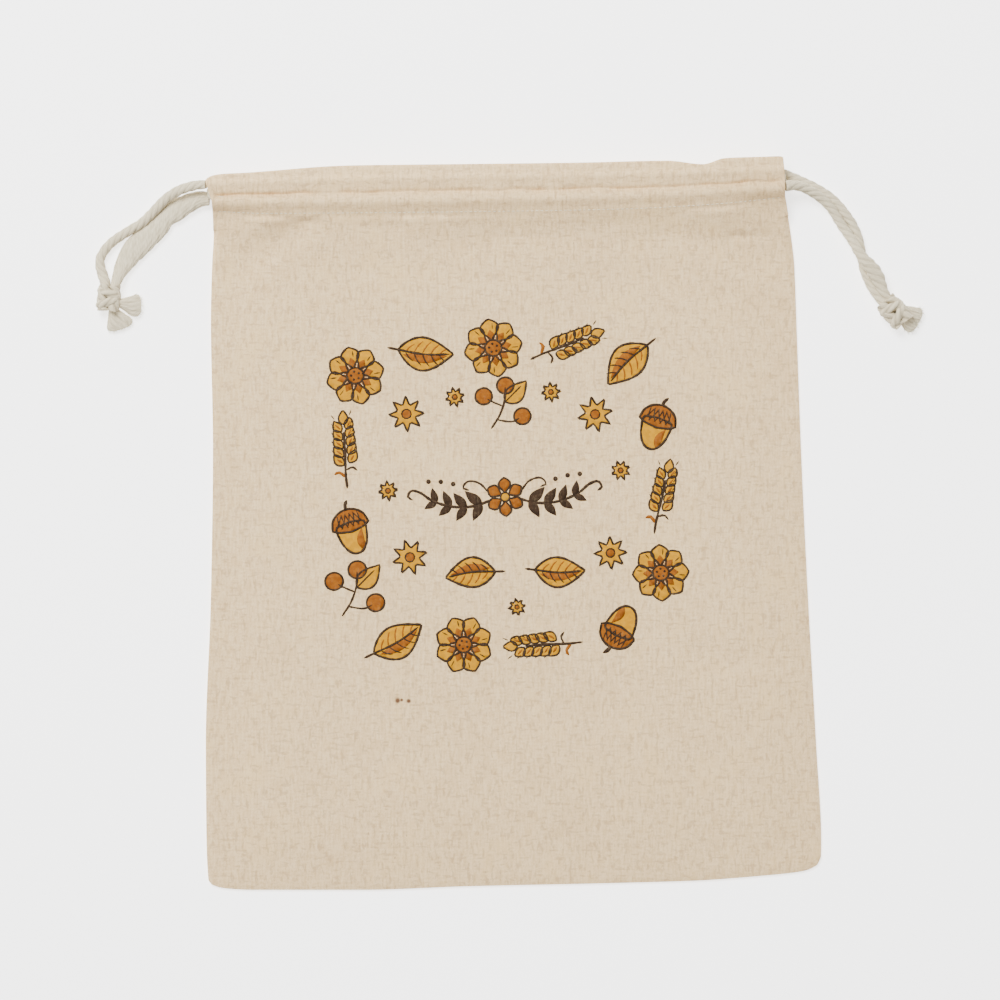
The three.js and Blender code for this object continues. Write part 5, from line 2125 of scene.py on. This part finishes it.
@dataclass
class PrintedWreath:
    """A wreath of meadow motifs, as films of ink on the front cloth."""

    shape: BagShape
    centre: tuple[float, float] = (-4.1, 13.0)
    turn: float = 3.0
    pull: tuple[float, float] = (0.3, -0.25)  # of the ochre screen out of place
    reach: float = 1.4  # between points along a line
    grid: float = 2.6  # between points inside a filling
    under: float = 0.08  # depth of a film under the cloth's face
    ply: float = 0.002  # between marks of one ink that cross
    plies: int = 9

    LIFTS = {Ink.OCHRE: 0.05, Ink.BROWN: 0.08, Ink.DARK: 0.11}

    def build(self, shop: Workshop) -> list[Piece]:
        """Builds one film for each ink.

        Args:
            shop: the trees and materials.

        Returns:
            The films.
        """
        marks = [mark.placed((x, y), turn, size) for motif, x, y, turn, size in WREATH
                 for mark in motif.marks()] + garland()
        marks = [mark.placed(self.centre, self.turn) for mark in marks]
        return [self.film(ink, [mark for mark in marks if mark.ink is ink], shop) for ink in Ink]

    def film(self, ink: Ink, marks: Sequence[Mark], shop: Workshop) -> Piece:
        """Builds one ink's film.

        Args:
            ink: the ink.
            marks: its marks.
            shop: the trees and materials.

        Returns:
            The film.
        """
        rng = np.random.default_rng(len(marks))
        pull = self.pull if ink is Ink.OCHRE else (0.0, 0.0)
        corners, faces, lifts, start = [], [], [], 0
        for i, mark in enumerate(marks):
            points, shapes = self.ribbon(mark, rng) if mark.width else self.patch(mark)
            corners.append(points + np.array(pull))
            faces.append(np.array(shapes) + start)
            lifts.append(np.full(len(points), self.LIFTS[ink] + self.ply * (i % self.plies)))
            start += len(points)
        flat, lift = np.concatenate(corners), np.concatenate(lifts)
        piece = self.slab(ink, flat, lift, np.concatenate(faces))
        piece.data.materials.append(shop.inks[ink])
        return settle(piece, ink.value)

    def patch(self, mark: Mark) -> tuple[Array, list[list[int]]]:
        """Fills an outline with triangles small enough to follow the cloth.

        Args:
            mark: the filling.

        Returns:
            The points and the triangles.
        """
        turned = 1 if winding(mark.points) > 0 else -1
        outline = mark.points[::turned]
        low, high = outline.min(axis=0), outline.max(axis=0)
        x, y = np.meshgrid(*(np.arange(low[i] + 1, high[i] - 1, self.grid) for i in (0, 1)))
        spots = np.concatenate([outline, np.stack([x.ravel(), y.ravel()], axis=1)])
        found = geometry.delaunay_2d_cdt([Vector(spot) for spot in spots.tolist()], [],
                                         [list(range(len(outline)))], 1, 1e-5)
        return np.array([tuple(point) for point in found[0]]), found[2]

    def ribbon(self, mark: Mark, rng: np.random.Generator) -> tuple[Array, list[list[int]]]:
        """Gives a line's ribbon, a little uneven as a pen draws it.

        Args:
            mark: the line.
            rng: the source of its unevenness.

        Returns:
            The points and the ribbon's faces.
        """
        gone = np.concatenate([[0], np.cumsum(np.linalg.norm(np.diff(mark.points, axis=0),
                                                             axis=1))])
        count = max(3, round(gone[-1] / self.reach) + 1)
        at = np.linspace(0, gone[-1], count)
        line = np.stack([np.interp(at, gone, values) for values in mark.points.T], axis=1)
        ahead = np.gradient(line, axis=0)
        ahead /= np.maximum(np.linalg.norm(ahead, axis=1), 1e-6)[:, None]
        side = np.stack([-ahead[:, 1], ahead[:, 0]], axis=1)
        ends = np.minimum(at, gone[-1] - at)
        half = mark.width / 2 * (1 + rng.normal(0, 0.11, count))
        half *= 0.35 + 0.65 * smooth(ends / mark.width)
        edges = [line + side * half[:, None], line - side * half[:, None]]
        faces = [[i, i + 1, count + i] for i in range(count - 1)]
        faces += [[i + 1, count + i + 1, count + i] for i in range(count - 1)]
        return np.concatenate(edges), faces

    def slab(self, ink: Ink, flat: Array, lift: Array, faces: Array) -> Piece:
        """Lays flat triangles on the cloth as a closed film.

        Args:
            ink: the ink.
            flat: x and y of the points.
            lift: of each point over the cloth.
            faces: the triangles.

        Returns:
            The film.
        """
        used, faces = np.unique(faces, return_inverse=True)
        faces = faces.reshape(-1, 3)
        flat, lift = flat[used], lift[used]
        x, y = flat.T
        ground = self.shape.front_height(self.shape.share(x, y), y) + ClothPanel.half
        levels = [ground + lift, ground - self.under]
        points = np.concatenate([np.stack([x, y, z], axis=1) for z in levels])
        a, b, c = flat[faces[:, 0]], flat[faces[:, 1]], flat[faces[:, 2]]
        area = (b[:, 0] - a[:, 0]) * (c[:, 1] - a[:, 1]) - (b[:, 1] - a[:, 1]) * (c[:, 0] - a[:, 0])
        faces = np.where(area[:, None] < 0, faces[:, ::-1], faces)
        rim = np.concatenate([faces[:, [0, 1]], faces[:, [1, 2]], faces[:, [2, 0]]])
        known = {tuple(edge) for edge in rim.tolist()}
        count = len(flat)
        walls = [(i, i + count, j + count, j) for i, j in known if (j, i) not in known]
        shapes = faces.tolist() + (faces[:, ::-1] + count).tolist() + walls
        mesh = make_mesh(f"wreath_{ink.name.lower()}", points, shapes)
        set_uv(mesh, np.concatenate([flat, flat]))
        return link(mesh.name, mesh)


@dataclass
class Studio:
    """A pale floor under soft light, seen from straight above."""

    centre: tuple[float, float] = (-0.0066, 0.0115)
    distance: float = 2.4
    view: float = 0.488  # width seen at the cloth
    cloth_height: float = 0.006
    key_place: Place = (-0.65, 1.1, 1.85)
    key_size: float = 1.0
    key_power: float = 106.0
    sky: float = 0.8
    warm_white: Colour = (1.0, 0.985, 0.96, 1)
    paper_white: Colour = (0.95, 0.95, 0.95, 1.0)
    glow: float = 2.2  # of the floor itself
    floor_half: float = 1500.0  # in millimetres
    sensor: float = 36.0

    def build(self) -> None:
        """Builds the floor, the lights and the camera."""
        scene = bpy.context.scene
        corners = np.array([(-1, -1, 0), (1, -1, 0), (1, 1, 0), (-1, 1, 0)]) * self.floor_half
        floor = link("floor", make_mesh("floor", corners, [(0, 1, 2, 3)]))
        floor.data.materials.append(self.paper())
        world = bpy.data.worlds.new("studio")
        world.use_nodes = True
        inputs = world.node_tree.nodes["Background"].inputs
        inputs["Color"].default_value, inputs["Strength"].default_value = self.warm_white, self.sky
        scene.world = world
        self.light("key", self.key_place, self.key_size, self.key_power)
        lens = bpy.data.cameras.new("view")
        lens.sensor_width = self.sensor
        lens.lens = self.sensor * (self.distance - self.cloth_height) / self.view
        camera = bpy.data.objects.new("view", lens)
        camera.location = (*self.centre, self.distance)
        scene.collection.objects.link(camera)
        scene.camera = camera

    def paper(self) -> Material:
        """Makes the floor's plain material.

        Returns:
            The material.
        """
        material, _, shader = dressed("pale_paper", 0.9, 0.0)
        shader.inputs["Base Color"].default_value = self.paper_white
        shader.inputs["Emission Color"].default_value = (1.0, 1.0, 1.0, 1.0)
        shader.inputs["Emission Strength"].default_value = self.glow
        return material

    def light(self, name: str, place: Place, size: float, power: float) -> None:
        """Hangs a square soft light that looks at the bag.

        Args:
            name: of the light.
            place: of its middle.
            size: of its sides.
            power: in watts.
        """
        lamp = bpy.data.lights.new(name, "AREA")
        lamp.shape, lamp.size, lamp.energy = "SQUARE", size, power
        held = bpy.data.objects.new(name, lamp)
        held.location = place
        held.rotation_euler = Vector(place).to_track_quat("Z", "Y").to_euler()
        bpy.context.scene.collection.objects.link(held)


def main() -> None:
    """Builds the studio, the cords, the cloth and the print."""
    logging.basicConfig(level=logging.INFO, format="%(name)s %(message)s")
    Studio().build()
    shop = Workshop.opened()
    shape = BagShape()
    for side in Side:
        Drawstring(side).build(shop)
        CasedCord(side, shape).build(shop)
    back, front = ClothPanel(PanelSide.BACK, shape), ClothPanel(PanelSide.FRONT, shape)
    back.build(shop)
    front.build(shop)
    back_seam, front_seam = (CasingStitching(panel).build(shop) for panel in (back, front))
    back.declare(["floor"], [back_seam])
    wreath = PrintedWreath(shape).build(shop)
    front.declare([back.piece.name], [front_seam, *wreath])


if __name__ == "__main__":
    main()
